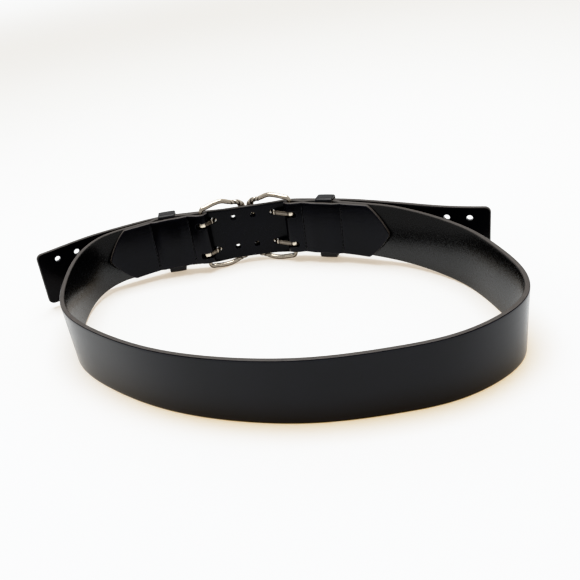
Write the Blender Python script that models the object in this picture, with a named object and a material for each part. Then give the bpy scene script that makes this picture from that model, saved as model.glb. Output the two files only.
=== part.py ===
"""Leather belt standing on edge, with two buckles that face each other and share one holed tab.

Metres, +Z up. The waist hollow is upright. The buckles lie towards +Y, their insides face -Y,
and the long plain back of the strap lies towards -Y.
"""

import bisect
from math import acos, atan2, cos, hypot, pi, radians, sin, sqrt, tan

import bmesh
import bpy

# Leather
BELT_WIDTH = 0.0500
TAB_WIDTH = 0.0523
LEATHER = 0.0038
KEEPER_LEATHER = 0.0022
EDGE_BEVEL = 0.0005
GAP = 0.0003

# Plan of the loop, measured on the line midway between the leather layers
LOOP_ACROSS = 0.3412
LOOP_DEEP = 0.2656

# Share of LOOP_ACROSS from the middle, share of LOOP_DEEP from the back of the wearer.
# The rows run from beside the left heel bar, round the wearer, to beside the right heel bar.
LOOP_PLAN = (
    (-0.2603, 0.9990),
    (-0.3510, 0.9810),
    (-0.4167, 0.9511),
    (-0.4730, 0.8615),
    (-0.4970, 0.6975),
    (-0.4791, 0.5025),
    (-0.3845, 0.3192),
    (-0.2604, 0.1768),
    (-0.1189, 0.0773),
    (0.0259, 0.0186),
    (0.1786, 0.0016),
    (0.2859, 0.0095),
    (0.3868, 0.0558),
    (0.4647, 0.1395),
    (0.4954, 0.2483),
    (0.4922, 0.3957),
    (0.4674, 0.5463),
    (0.4096, 0.6740),
    (0.3223, 0.7787),
    (0.2086, 0.8758),
)
# Where the fronts of the two buckles meet, in the same shares
BUCKLE_MEETING = (-0.0303, 1.0343)

# Free wings of the tab, in the same shares, from the right end to the right keeper
RIGHT_WING = (
    (0.5833, 0.6186),
    (0.5187, 0.6540),
    (0.4332, 0.7086),
)
# and from the left keeper to the left end
LEFT_WING = (
    (-0.4919, 0.9456),
    (-0.6018, 0.8778),
    (-0.6531, 0.8458),
)
RIGHT_WING_START = 0.1000
LEFT_WING_START = 0.0620
LEFT_LEAN_START = 0.0950
TAB_SLACK = 0.0006
BEND_SLACK = 0.0002
RIGHT_WING_LEAN = -8.0
LEFT_WING_LEAN = -10.0
TAB_WAIST = 0.0012
WAIST_RUN = 0.0250

# Turned-back ends, as distances from the heel bar
FOLD_RUN = 0.0020
NEAR_STITCH = 0.0120
KEEPER_CENTRE = 0.0320
KEEPER_WIDTH = 0.0155
KEEPER_EASE = 0.0015
KEEPER_ROOM = 0.00015
KEEPER_CORNER = 0.0010
FAR_STITCH = 0.0480
RETURN_SHOULDER = 0.0735
RETURN_POINT = 0.0195
SINGLE_LAYER = 0.1500
END_WIDTH_SHARE = 0.964
NARROW_START = 0.0500
NARROW_FOOT = 0.1000

# Buckles
WIRE_RADIUS = 0.0017
RAIL_RADIUS = 0.0022
FRONT_BAR_RADIUS = 0.0036
FRAME_LENGTH = 0.0405
FRONT_SPACE = 0.0006
RAIL_CLEARANCE = 0.00085
RAIL_BOW = 0.00215
RAIL_BOW_POWER = 1.2
FRAME_RISE = 0.0020
STRAP_RISE = 0.00295
STRAP_CLEARANCE = 0.0010
HEEL_CORNER = 0.0042
FRONT_CORNER = 0.0070
UPPER_DROP = 0.0024
LOWER_DROP = 0.0005
DROP_START = 0.50
LEFT_FRAME_TURN = 18.0
RIGHT_FRAME_TURN = 29.0
FRAME_SIDES = 10

# Prongs
PRONG_THICK = 0.0022
PRONG_WIDTH = 0.0044
PRONG_WRAP = 272.0
PRONG_REACH = 0.0042
PRONG_CORNER = 0.0022
PRONG_DROP = 0.0003
PRONG_ROW_SHARE = 0.298
ROW_RISE = 0.00155
PRONG_SIDES = 8
SLOT_ROOM = 0.0006
SLOT_INSIDE = 0.0054
SLOT_OUTSIDE = 0.0052

# Tab holes
HOLE_RADIUS = 0.0026
HOLE_PITCH = 0.0184
HOLE_COLUMNS = 22
RIGHT_PRONG_COLUMN = 10
LEFT_PRONG_COLUMN = 13
RIGHT_END_MARGIN = 0.0165
LEFT_END_MARGIN = 0.0180
TAB_CORNER = 0.0050
LEFT_PRONG_REACH = 0.0122
HOLE_SIDES = 10

# Column of holes, and how far it is moved towards the right end
HOLE_SHIFTS = (
    (0, 0.0),
    (8, 0.0030),
    (15, 0.0030),
    (21, 0.0),
)

# The strap lies flat on the floor at the back and climbs to the buckles
CLIMB_TOP = 0.0100
CLIMB_FOOT = 0.2000

# How far a flat facet may stray from the curve it stands for
FACET_STRAY = 0.00005
FACET_LENGTH = 0.0090
SHORTEST_FACET = 0.0004
LINE_STEP = 0.0005
WELD = 0.00001

# Sizes that follow from those above
FOLD_RADIUS = WIRE_RADIUS + GAP + LEATHER / 2
PINCH_HALF = LEATHER / 2 + GAP / 2
KEEPER_HALF = KEEPER_LEATHER / 2 + GAP + 2 * BEND_SLACK + LEATHER / 2
TAB_HALF = TAB_WIDTH / 2
STRAP_END_WIDTH = BELT_WIDTH * END_WIDTH_SHARE
STRAP_ROOM = STRAP_END_WIDTH / 2 + STRAP_RISE - FRAME_RISE + STRAP_CLEARANCE
RAIL_HEIGHT = max(TAB_HALF + RAIL_CLEARANCE, STRAP_ROOM) + RAIL_RADIUS
BUCKLE_MIDDLE = RAIL_HEIGHT + RAIL_BOW + RAIL_RADIUS
TAB_MIDDLE = BUCKLE_MIDDLE - FRAME_RISE
CLIMB = TAB_MIDDLE + STRAP_RISE - STRAP_END_WIDTH / 2
TAB_OVER_BAR = FOLD_RADIUS + LEATHER + GAP + BEND_SLACK
TAB_OVER_KEEPER = KEEPER_HALF + LEATHER + GAP
TAB_OVER_PINCH = PINCH_HALF + LEATHER + GAP + TAB_SLACK
TAB_UNDER_FRONT = FRONT_BAR_RADIUS + GAP + BEND_SLACK + LEATHER / 2
ROW_HEIGHT = PRONG_ROW_SHARE * BELT_WIDTH
TAB_LENGTH = RIGHT_END_MARGIN + (HOLE_COLUMNS - 1) * HOLE_PITCH + LEFT_END_MARGIN


def ease(share):
    """Return a smooth 0 to 1 rise for a share from 0 to 1."""
    share = min(1.0, max(0.0, share))
    return (1 - cos(pi * share)) / 2


def eased_table(table, value):
    """Read a table of (position, amount) rows with an eased step between rows."""
    if value <= table[0][0]:
        return table[0][1]
    for (low, a), (high, b) in zip(table, table[1:]):
        if value <= high:
            return a + (b - a) * ease((value - low) / (high - low))
    return table[-1][1]


def spline_bends(spans, values):
    """Solve the second derivatives of a natural cubic spline."""
    count = len(values)
    upper = [0.0] * count
    right = [0.0] * count
    for i in range(1, count - 1):
        before = spans[i - 1]
        after = spans[i]
        slope = (values[i + 1] - values[i]) / after - (values[i] - values[i - 1]) / before
        pivot = 2 * (before + after) - before * upper[i - 1]
        upper[i] = after / pivot
        right[i] = (6 * slope - before * right[i - 1]) / pivot
    bends = [0.0] * count
    for i in range(count - 2, 0, -1):
        bends[i] = right[i] - upper[i] * bends[i + 1]
    return bends


def smooth_line(knots, step=LINE_STEP):
    """Return close points on the natural cubic spline through the knots."""
    spans = [hypot(b[0] - a[0], b[1] - a[1]) for a, b in zip(knots, knots[1:])]
    axes = []
    for axis in (0, 1):
        values = [knot[axis] for knot in knots]
        axes.append((values, spline_bends(spans, values)))
    points = []
    for i, span in enumerate(spans):
        pieces = max(2, int(span / step))
        for j in range(pieces):
            t = j / pieces
            point = []
            for values, bends in axes:
                a = 1 - t
                curve = (a ** 3 - a) * bends[i] + (t ** 3 - t) * bends[i + 1]
                point.append(a * values[i] + t * values[i + 1] + curve * span * span / 6)
            points.append(tuple(point))
    points.append(tuple(knots[-1]))
    return points


class Track:
    """A plan line read by the distance along it and the distance to its right."""

    def __init__(self, points, notes=None):
        self.points = points
        self.notes = notes or [0.0] * len(points)
        self.distances = [0.0]
        for a, b in zip(points, points[1:]):
            self.distances.append(self.distances[-1] + hypot(b[0] - a[0], b[1] - a[1]))
        self.length = self.distances[-1]
        self.headings = []
        last = len(points) - 1
        for i in range(last + 1):
            a = points[max(0, i - 1)]
            b = points[min(last, i + 1)]
            size = hypot(b[0] - a[0], b[1] - a[1])
            self.headings.append(((b[0] - a[0]) / size, (b[1] - a[1]) / size))

    def locate(self, along):
        """Return position, unit heading and the number noted at a distance along the line."""
        i = bisect.bisect_right(self.distances, along) - 1
        i = min(max(i, 0), len(self.points) - 2)
        t = (along - self.distances[i]) / (self.distances[i + 1] - self.distances[i])
        blend = min(1.0, max(0.0, t))
        x = self.points[i][0] * (1 - t) + self.points[i + 1][0] * t
        y = self.points[i][1] * (1 - t) + self.points[i + 1][1] * t
        hx = self.headings[i][0] * (1 - blend) + self.headings[i + 1][0] * blend
        hy = self.headings[i][1] * (1 - blend) + self.headings[i + 1][1] * blend
        size = hypot(hx, hy)
        note = self.notes[i] * (1 - blend) + self.notes[i + 1] * blend
        return (x, y), (hx / size, hy / size), note

    def at(self, along, right=0.0):
        """Return the plan point at a distance along and a distance to the right."""
        (x, y), (hx, hy), note = self.locate(along)
        return (x + hy * right, y - hx * right)

    def nearest(self, point):
        """Return the distance along the line that comes nearest to a point."""
        x, y = point
        gaps = [hypot(a - x, b - y) for a, b in self.points]
        return self.distances[gaps.index(min(gaps))]

    def turn(self, start, end):
        """Return the largest change of heading from start to any place before end."""
        hx, hy = self.locate(start)[1]
        turns = []
        for i in range(1, 6):
            tx, ty = self.locate(start + (end - start) * i / 5)[1]
            turns.append(abs(atan2(hx * ty - hy * tx, hx * tx + hy * ty)))
        return max(turns)

    def stations(self, start, end):
        """Return distances between start and end that keep flat facets near the line."""
        found = [start]
        while end - found[-1] > SHORTEST_FACET / 2:
            step = min(FACET_LENGTH, end - found[-1])
            while step > SHORTEST_FACET and step * self.turn(found[-1], found[-1] + step) / 8 > FACET_STRAY:
                step *= 0.85
            found.append(found[-1] + step)
        found[-1] = end
        return found


def new_object(name, mesh):
    """Link a mesh to the scene as a named object."""
    item = bpy.data.objects.new(name, mesh)
    bpy.context.scene.collection.objects.link(item)
    return item


def finish_mesh(bm, name):
    """Turn faces outwards and store the bmesh as a mesh."""
    bmesh.ops.recalc_face_normals(bm, faces=bm.faces)
    if bm.calc_volume(signed=True) < 0:
        bmesh.ops.reverse_faces(bm, faces=bm.faces)
    mesh = bpy.data.meshes.new(name)
    bm.to_mesh(mesh)
    bm.free()
    return mesh


def add_loops(bm, loops, closed=True, caps=True):
    """Skin a list of equal vertex loops, either as a closed ring or with end caps."""
    rings = [[bm.verts.new(point) for point in loop] for loop in loops]
    pairs = list(zip(rings, rings[1:]))
    if closed:
        pairs.append((rings[-1], rings[0]))
    for near, far in pairs:
        for i in range(len(near)):
            j = (i + 1) % len(near)
            bm.faces.new((near[i], near[j], far[j], far[i]))
    if caps and not closed:
        bm.faces.new(rings[0][::-1])
        bm.faces.new(rings[-1])


def inset(outline, depth):
    """Move a closed outline inwards by a depth."""
    moved = []
    for i, (x, y) in enumerate(outline):
        ax, ay = outline[i - 1]
        bx, by = outline[(i + 1) % len(outline)]
        before = hypot(x - ax, y - ay)
        after = hypot(bx - x, by - y)
        n1 = (-(y - ay) / before, (x - ax) / before)
        n2 = (-(by - y) / after, (bx - x) / after)
        scale = depth / (1 + n1[0] * n2[0] + n1[1] * n2[1])
        moved.append((x + (n1[0] + n2[0]) * scale, y + (n1[1] + n2[1]) * scale))
    return moved


def flat_strip(name, rows):
    """Build a flat strip of leather from rows of (along, low edge, high edge)."""
    low = [(along, bottom) for along, bottom, top in rows]
    high = [(along, top) for along, bottom, top in rows if top > bottom]
    outline = low + high[::-1]
    highs = {}
    for i, (along, top) in enumerate(high):
        highs[along] = len(outline) - 1 - i
    inner = inset(outline, EDGE_BEVEL)
    half = LEATHER / 2
    layers = ((inner, -half), (outline, EDGE_BEVEL - half), (outline, half - EDGE_BEVEL), (inner, half))
    bm = bmesh.new()
    rings = [[bm.verts.new((x, depth, z)) for x, z in ring] for ring, depth in layers]
    for near, far in zip(rings, rings[1:]):
        for i in range(len(outline)):
            j = (i + 1) % len(outline)
            bm.faces.new((near[i], near[j], far[j], far[i]))
    for ring in (rings[0], rings[-1]):
        for i in range(len(rows) - 1):
            corners = [i, i + 1, highs.get(rows[i + 1][0], i + 1), highs.get(rows[i][0], i)]
            kept = list(dict.fromkeys(corners))
            bm.faces.new([ring[k] for k in kept])
    return new_object(name, finish_mesh(bm, name))


def add_prism(bm, outline, reach):
    """Add an upright cutter with the given outline through a flat strip."""
    add_loops(bm, [[(x, side * reach, z) for x, z in outline] for side in (-1, 1)], closed=False)


def round_outline(x, z, half_length, radius, sides):
    """Return a circle, or a slot with round ends when half_length is above zero."""
    points = []
    for i in range(sides):
        angle = 2 * pi * (i + 0.5) / sides
        shift = half_length if cos(angle) > 0 else -half_length
        points.append((x + shift + radius * cos(angle), z + radius * sin(angle)))
    return points


def cut_outlines(item, outlines):
    """Cut outlines through a flat strip with one exact boolean."""
    bm = bmesh.new()
    for outline in outlines:
        add_prism(bm, outline, LEATHER)
    cutter = new_object(item.name + "_cutter", finish_mesh(bm, "cutter"))
    cutter.hide_render = True
    cutter.display_type = "WIRE"
    modifier = item.modifiers.new("cut", "BOOLEAN")
    modifier.operation = "DIFFERENCE"
    modifier.solver = "EXACT"
    modifier.object = cutter
    evaluated = item.evaluated_get(bpy.context.evaluated_depsgraph_get())
    mesh = bpy.data.meshes.new_from_object(evaluated)
    item.modifiers.clear()
    item.data = mesh
    bpy.data.objects.remove(cutter)


def bend_strip(item, place):
    """Triangulate a flat strip and bend it with place(along, depth, height)."""
    bm = bmesh.new()
    bm.from_mesh(item.data)
    bmesh.ops.remove_doubles(bm, verts=bm.verts, dist=WELD)
    bmesh.ops.triangulate(bm, faces=bm.faces)
    for vertex in bm.verts:
        vertex.co = place(vertex.co.x, vertex.co.y, vertex.co.z)
    item.data = finish_mesh(bm, item.name)


def loop_plan(table):
    """Turn plan shares into plan points."""
    return [(across * LOOP_ACROSS, deep * LOOP_DEEP) for across, deep in table]


# Half the distance between the two layers, by distance from the heel bar
LAYER_TABLE = (
    (FOLD_RUN, FOLD_RADIUS),
    (NEAR_STITCH, PINCH_HALF),
    (KEEPER_CENTRE - KEEPER_WIDTH / 2 - KEEPER_EASE, KEEPER_HALF),
    (KEEPER_CENTRE + KEEPER_WIDTH / 2 + KEEPER_EASE, KEEPER_HALF),
    (FAR_STITCH, PINCH_HALF),
    (RETURN_SHOULDER + RETURN_POINT, PINCH_HALF),
    (SINGLE_LAYER, 0.0),
)
# Height of the lower edge and width of the strap, by distance from the heel bar
CLIMB_TABLE = ((CLIMB_TOP, CLIMB), (CLIMB_FOOT, 0.0))
WIDTH_TABLE = ((NARROW_START, STRAP_END_WIDTH), (NARROW_FOOT, BELT_WIDTH))


def frame_way(side):
    """Return the plan direction from a buckle's heel bar to its front bar."""
    if side == "left":
        return (cos(radians(LEFT_FRAME_TURN)), sin(radians(LEFT_FRAME_TURN)))
    return (-cos(radians(RIGHT_FRAME_TURN)), sin(radians(RIGHT_FRAME_TURN)))


def heel_bar(side):
    """Return the plan point of a heel bar, behind the place where the two fronts meet."""
    x, y = loop_plan([BUCKLE_MEETING])[0]
    half_turn = radians((LEFT_FRAME_TURN + RIGHT_FRAME_TURN) / 2)
    reach = FRAME_LENGTH + (FRONT_BAR_RADIUS + FRONT_SPACE / 2) / cos(half_turn)
    across, deep = frame_way(side)
    return (x - across * reach, y - deep * reach)


loop = Track(smooth_line([heel_bar("left")] + loop_plan(LOOP_PLAN) + [heel_bar("right")]))


def strap_track():
    """Return the line of the whole strap, from the left point to the right point.

    Each point notes its distance from the nearer heel bar.
    """
    points = []
    notes = []
    return_length = RETURN_SHOULDER + RETURN_POINT

    def add(point, distance):
        points.append(point)
        notes.append(distance)

    count = int(return_length / LINE_STEP)
    for i in range(count):
        distance = return_length * (1 - i / count)
        add(loop.at(distance, -eased_table(LAYER_TABLE, distance)), distance)
    left_fold_start = len(points)
    for turn in range(-90, 90, 3):
        along, right = -cos(radians(turn)), sin(radians(turn))
        add(offset_point(0.0, along * FOLD_RADIUS, right * FOLD_RADIUS), 0.0)
    left_fold_end = len(points)
    count = int(loop.length / LINE_STEP)
    for i in range(count):
        along = loop.length * i / count
        distance = min(along, loop.length - along)
        add(loop.at(along, eased_table(LAYER_TABLE, distance)), distance)
    right_fold_start = len(points)
    for turn in range(90, -90, -3):
        along, right = cos(radians(turn)), sin(radians(turn))
        add(offset_point(loop.length, along * FOLD_RADIUS, right * FOLD_RADIUS), 0.0)
    right_fold_end = len(points)
    count = int(return_length / LINE_STEP)
    for i in range(count + 1):
        distance = return_length * i / count
        add(loop.at(loop.length - distance, -eased_table(LAYER_TABLE, distance)), distance)
    track = Track(points, notes)
    marks = (left_fold_start, left_fold_end, right_fold_start, right_fold_end)
    return track, [track.distances[mark] for mark in marks]


def offset_point(along, forward, right):
    """Return the plan point forward and right of a place on the loop line."""
    (x, y), (hx, hy), note = loop.locate(along)
    return (x + hx * forward + hy * right, y + hy * forward - hx * right)


def build_strap():
    """Build the long strap with both ends turned back round the heel bars."""
    track, marks = strap_track()
    rows = []
    alongs = []
    for start, end in zip([0.0] + marks, marks + [track.length]):
        alongs.extend(track.stations(start, end)[:-1])
    for along in alongs + [track.length]:
        end = min(along, track.length - along)
        middle = eased_table(WIDTH_TABLE, track.locate(along)[2]) / 2
        half = middle * min(1.0, end / RETURN_POINT)
        if end < RETURN_POINT / 50:
            half = 0.0
        rows.append((along, middle - half, middle + half))
    item = flat_strip("main_strap", rows)
    slots = []
    for start, end, first, last in (
        (marks[0], marks[1], SLOT_INSIDE, SLOT_OUTSIDE),
        (marks[2], marks[3], SLOT_OUTSIDE, SLOT_INSIDE),
    ):
        low = start - first
        high = end + last
        radius = PRONG_WIDTH / 2 + SLOT_ROOM
        for side in (-1, 1):
            buckle_side = "left" if start < loop.length else "right"
            height = hole_height(buckle_side, side) - CLIMB
            reach = (high - low) / 2 - radius
            slots.append(round_outline((low + high) / 2, height, reach, radius, HOLE_SIDES))
    cut_outlines(item, slots)

    def place(along, depth, height):
        (x, y), (hx, hy), distance = track.locate(along)
        lift = eased_table(CLIMB_TABLE, distance)
        return (x + hy * depth, y - hx * depth, height + lift)

    bend_strip(item, place)
    return item


class Buckle:
    """The plan of one buckle: its heel bar, its direction and its outward normal."""

    def __init__(self, side):
        self.side = side
        self.along = 0.0 if side == "left" else loop.length
        self.heel = heel_bar(side)
        self.ahead = frame_way(side)
        self.out = (-self.ahead[1], self.ahead[0]) if side == "left" else (self.ahead[1], -self.ahead[0])

    def world(self, ahead, out, height):
        """Turn a place in the buckle's own plan into a point of the model."""
        x = self.heel[0] + self.ahead[0] * ahead + self.out[0] * out
        y = self.heel[1] + self.ahead[1] * ahead + self.out[1] * out
        return (x, y, BUCKLE_MIDDLE + height)

    def local(self, point):
        """Turn a plan point into distances ahead and outwards from the heel bar."""
        dx = point[0] - self.heel[0]
        dy = point[1] - self.heel[1]
        return (dx * self.ahead[0] + dy * self.ahead[1], dx * self.out[0] + dy * self.out[1])


buckles = {"left": Buckle("left"), "right": Buckle("right")}


def tab_track():
    """Return the line of the tab, from its right end to its left end."""
    left = buckles["left"]
    right = buckles["right"]
    bars = Track([right.world(FRAME_LENGTH, 0.0, 0.0)[:2], left.world(FRAME_LENGTH, 0.0, 0.0)[:2]])
    hold = KEEPER_WIDTH * 0.4
    knots = loop_plan(RIGHT_WING)
    knots.append(loop.at(loop.length - RIGHT_WING_START, TAB_OVER_PINCH))
    knots.append(loop.at(loop.length - (RIGHT_WING_START + FAR_STITCH) / 2, TAB_OVER_PINCH))
    knots.append(loop.at(loop.length - KEEPER_CENTRE - hold, TAB_OVER_KEEPER))
    knots.append(loop.at(loop.length - KEEPER_CENTRE + hold, TAB_OVER_KEEPER))
    knots.append(loop.at(loop.length, TAB_OVER_BAR))
    knots.append(bars.at(0.0, -TAB_UNDER_FRONT))
    knots.append(bars.at(bars.length, -TAB_UNDER_FRONT))
    knots.append(loop.at(0.0, TAB_OVER_BAR))
    knots.append(loop.at(KEEPER_CENTRE - hold, TAB_OVER_KEEPER))
    knots.append(loop.at(KEEPER_CENTRE + hold, TAB_OVER_KEEPER))
    knots.append(loop.at(LEFT_WING_START, TAB_OVER_PINCH))
    knots.extend(loop_plan(LEFT_WING))
    line = Track(smooth_line(knots))
    best = min(
        range(len(line.points)),
        key=lambda i: abs(left.local(line.points[i])[0] - LEFT_PRONG_REACH),
    )
    start = line.distances[best] - hole_along(LEFT_PRONG_COLUMN)
    count = int(TAB_LENGTH / LINE_STEP)
    return Track([line.at(start + TAB_LENGTH * i / count) for i in range(count + 1)])


def hole_along(column):
    """Return the distance along the tab of a column of holes."""
    return RIGHT_END_MARGIN + column * HOLE_PITCH - eased_table(HOLE_SHIFTS, column)


tab = tab_track()
right_bar = tab.nearest(buckles["right"].heel)
left_bar = tab.nearest(buckles["left"].heel)

# How far each long edge of the tab is drawn in between the buckles, by distance along it
waist_table = (
    (right_bar, 0.0),
    (right_bar + WAIST_RUN, TAB_WAIST),
    (left_bar - WAIST_RUN, TAB_WAIST),
    (left_bar, 0.0),
)


def drawn_in(along, above):
    """Return a height above the tab's middle once its long edges are drawn in."""
    return above - (above / TAB_HALF) ** 3 * eased_table(waist_table, along)


def hole_height(side, level):
    """Return the height of a buckle's upper (1) or lower (-1) prong hole."""
    column = LEFT_PRONG_COLUMN if side == "left" else RIGHT_PRONG_COLUMN
    return TAB_MIDDLE + drawn_in(hole_along(column), ROW_RISE + level * ROW_HEIGHT)


def build_tab():
    """Build the holed tab that joins the two buckles and ends free on both sides."""
    alongs = tab.stations(TAB_CORNER, TAB_LENGTH - TAB_CORNER)
    rows = []
    corner = [TAB_CORNER * (1 - cos(pi / 2 * i / 5)) for i in range(5)]
    for value in corner:
        rows.append((value, TAB_CORNER))
    for value in alongs:
        rows.append((value, TAB_CORNER))
    for value in corner[::-1]:
        rows.append((TAB_LENGTH - value, TAB_CORNER))
    shaped = []
    for along, radius in rows:
        end = min(along, TAB_LENGTH - along, radius)
        low = radius - sqrt(max(0.0, radius ** 2 - (radius - end) ** 2))
        shaped.append((along, low, TAB_WIDTH - low))
    item = flat_strip("centre_tab", shaped)
    holes = []
    for column in range(HOLE_COLUMNS):
        for side in (-1, 1):
            height = TAB_HALF + ROW_RISE + side * ROW_HEIGHT
            holes.append(round_outline(hole_along(column), height, 0.0, HOLE_RADIUS, HOLE_SIDES))
    cut_outlines(item, holes)
    lean_table = (
        (0.0, tan(radians(RIGHT_WING_LEAN))),
        (right_bar - RIGHT_WING_START, 0.0),
        (left_bar + LEFT_LEAN_START, 0.0),
        (TAB_LENGTH, tan(radians(LEFT_WING_LEAN))),
    )

    def place(along, depth, height):
        (x, y), (hx, hy), note = tab.locate(along)
        above = height - TAB_HALF
        out = depth + above * eased_table(lean_table, along)
        return (x + hy * out, y - hx * out, TAB_MIDDLE + drawn_in(along, above))

    bend_strip(item, place)
    return item


def build_keeper(side):
    """Build a keeper loop round the outer layer of the strap and the tab."""
    along = KEEPER_CENTRE if side == "left" else loop.length - KEEPER_CENTRE
    (x, y), (hx, hy), note = loop.locate(along)
    low = KEEPER_LEATHER / 2
    high = TAB_OVER_KEEPER + LEATHER / 2 + GAP + KEEPER_ROOM
    near_lift = eased_table(CLIMB_TABLE, KEEPER_CENTRE - KEEPER_WIDTH / 2)
    far_lift = eased_table(CLIMB_TABLE, KEEPER_CENTRE + KEEPER_WIDTH / 2)
    top = max(TAB_MIDDLE + TAB_HALF, near_lift + STRAP_END_WIDTH) + GAP
    bottom = min(TAB_MIDDLE - TAB_HALF, far_lift) - GAP
    tall = (top - bottom) / 2
    rings = []
    for grow, corner in ((0.0, KEEPER_CORNER), (KEEPER_LEATHER, KEEPER_CORNER + KEEPER_LEATHER)):
        ring = []
        for corner_x, corner_z, start in (
            (high + grow - corner, tall + grow - corner, 0),
            (low - grow + corner, tall + grow - corner, 90),
            (low - grow + corner, -tall - grow + corner, 180),
            (high + grow - corner, -tall - grow + corner, 270),
        ):
            for i in range(5):
                angle = radians(start + 22.5 * i)
                ring.append((corner_x + corner * cos(angle), corner_z + corner * sin(angle)))
        rings.append(ring)
    inner, outer = rings
    rim = inset(outer, EDGE_BEVEL)
    half = KEEPER_WIDTH / 2
    bm = bmesh.new()
    loops = []
    for ring, forward in (
        (inner, -half),
        (rim, -half),
        (outer, EDGE_BEVEL - half),
        (outer, half - EDGE_BEVEL),
        (rim, half),
        (inner, half),
    ):
        placed = []
        for out, height in ring:
            across = x + hx * forward + hy * out
            deep = y + hy * forward - hx * out
            placed.append((across, deep, (top + bottom) / 2 + height))
        loops.append(placed)
    add_loops(bm, loops, closed=True)
    return new_object("keeper_" + side, finish_mesh(bm, "keeper_" + side))


def frame_half(front_drop):
    """Return half of a frame's line, heel bar to front bar, as (ahead, height, radius)."""
    top = []
    straight = RAIL_HEIGHT - HEEL_CORNER
    for i in range(3):
        top.append((0.0, straight * i / 3, WIRE_RADIUS))
    for i in range(5):
        angle = radians(180 - 22.5 * i)
        ahead = HEEL_CORNER + HEEL_CORNER * cos(angle)
        radius = WIRE_RADIUS + (RAIL_RADIUS - WIRE_RADIUS) * ease(i / 4)
        top.append((ahead, straight + HEEL_CORNER * sin(angle), radius))
    rail = FRAME_LENGTH - HEEL_CORNER - FRONT_CORNER
    for i in range(1, 10):
        bow = RAIL_BOW * sin(pi * i / 10) ** RAIL_BOW_POWER
        drop = front_drop * ease((i / 10 - DROP_START) / (1 - DROP_START))
        top.append((HEEL_CORNER + rail * i / 10, RAIL_HEIGHT + bow - drop, RAIL_RADIUS))
    grow = FRONT_BAR_RADIUS - RAIL_RADIUS
    straight = RAIL_HEIGHT - front_drop - FRONT_CORNER
    for i in range(7):
        angle = radians(90 - 15 * i)
        ahead = FRAME_LENGTH - FRONT_CORNER + FRONT_CORNER * cos(angle)
        height = straight + FRONT_CORNER * sin(angle)
        top.append((ahead, height, RAIL_RADIUS + grow * ease(i / 6)))
    for i in range(1, 4):
        top.append((FRAME_LENGTH, straight * (1 - i / 3), FRONT_BAR_RADIUS))
    return top


def frame_line():
    """Return the buckle frame's closed line: the upper half, then the lower half turned over."""
    lower = frame_half(LOWER_DROP)[-2:0:-1]
    return frame_half(UPPER_DROP) + [(ahead, -height, radius) for ahead, height, radius in lower]


def build_frame(side):
    """Build one round-wire buckle frame with a thicker front bar."""
    buckle = buckles[side]
    line = frame_line()
    loops = []
    for i, (ahead, height, radius) in enumerate(line):
        before = line[i - 1]
        after = line[(i + 1) % len(line)]
        size = hypot(after[0] - before[0], after[1] - before[1])
        normal = (-(after[1] - before[1]) / size, (after[0] - before[0]) / size)
        ring = []
        for j in range(FRAME_SIDES):
            angle = 2 * pi * j / FRAME_SIDES
            a = ahead + normal[0] * radius * cos(angle)
            h = height + normal[1] * radius * cos(angle)
            ring.append(buckle.world(a, radius * sin(angle), h))
        loops.append(ring)
    bm = bmesh.new()
    add_loops(bm, loops, closed=True)
    return new_object("buckle_frame_" + side, finish_mesh(bm, "buckle_frame_" + side))


def rounded_line(corners, radius, step):
    """Return points along straight runs with each inner corner rounded."""
    points = [corners[0]]
    for before, corner, after in zip(corners, corners[1:], corners[2:]):
        into = (before[0] - corner[0], before[1] - corner[1])
        out = (after[0] - corner[0], after[1] - corner[1])
        into_size = hypot(*into)
        out_size = hypot(*out)
        into = (into[0] / into_size, into[1] / into_size)
        out = (out[0] / out_size, out[1] / out_size)
        half = acos(max(-1.0, min(1.0, into[0] * out[0] + into[1] * out[1]))) / 2
        cut = min(radius / tan(half), into_size * 0.45, out_size * 0.45)
        start = (corner[0] + into[0] * cut, corner[1] + into[1] * cut)
        end = (corner[0] + out[0] * cut, corner[1] + out[1] * cut)
        for i in range(step + 1):
            t = i / step
            x = start[0] * (1 - t) ** 2 + corner[0] * 2 * t * (1 - t) + end[0] * t * t
            y = start[1] * (1 - t) ** 2 + corner[1] * 2 * t * (1 - t) + end[1] * t * t
            points.append((x, y))
    points.append(corners[-1])
    return points


def prong_line(side):
    """Return a prong's line round the heel bar, through the tab and over the front bar."""
    buckle = buckles[side]
    column = LEFT_PRONG_COLUMN if side == "left" else RIGHT_PRONG_COLUMN
    position, heading, note = tab.locate(hole_along(column))
    middle = buckle.local(position)
    ahead_of_tab = buckle.local((position[0] + heading[0], position[1] + heading[1]))
    run = (ahead_of_tab[0] - middle[0], ahead_of_tab[1] - middle[1])
    if run[0] < 0:
        run = (-run[0], -run[1])
    steep = atan2(run[1], run[0]) + radians(66)
    rise = (cos(steep), sin(steep))
    clear = LEATHER / 2 + GAP + PRONG_THICK / 2
    reach = clear / sin(radians(66)) * 1.02
    entry = (middle[0] - rise[0] * reach, middle[1] - rise[1] * reach)
    leave = (middle[0] + rise[0] * reach, middle[1] + rise[1] * reach)
    wrap = WIRE_RADIUS + GAP + PRONG_THICK / 2
    distance = hypot(*entry)
    start = atan2(entry[1], entry[0]) - acos(wrap / distance)
    points = []
    turns = 12
    for i in range(turns + 1):
        angle = start - radians(PRONG_WRAP) * (1 - i / turns)
        points.append((wrap * cos(angle), wrap * sin(angle)))
    rest = FRONT_BAR_RADIUS + GAP + PRONG_THICK / 2
    tip = (FRAME_LENGTH + PRONG_REACH, rest - PRONG_DROP)
    corners = [points[-1], entry, leave, (FRAME_LENGTH, rest), tip]
    points.extend(rounded_line(corners, PRONG_CORNER, 3)[1:])
    return points


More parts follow.
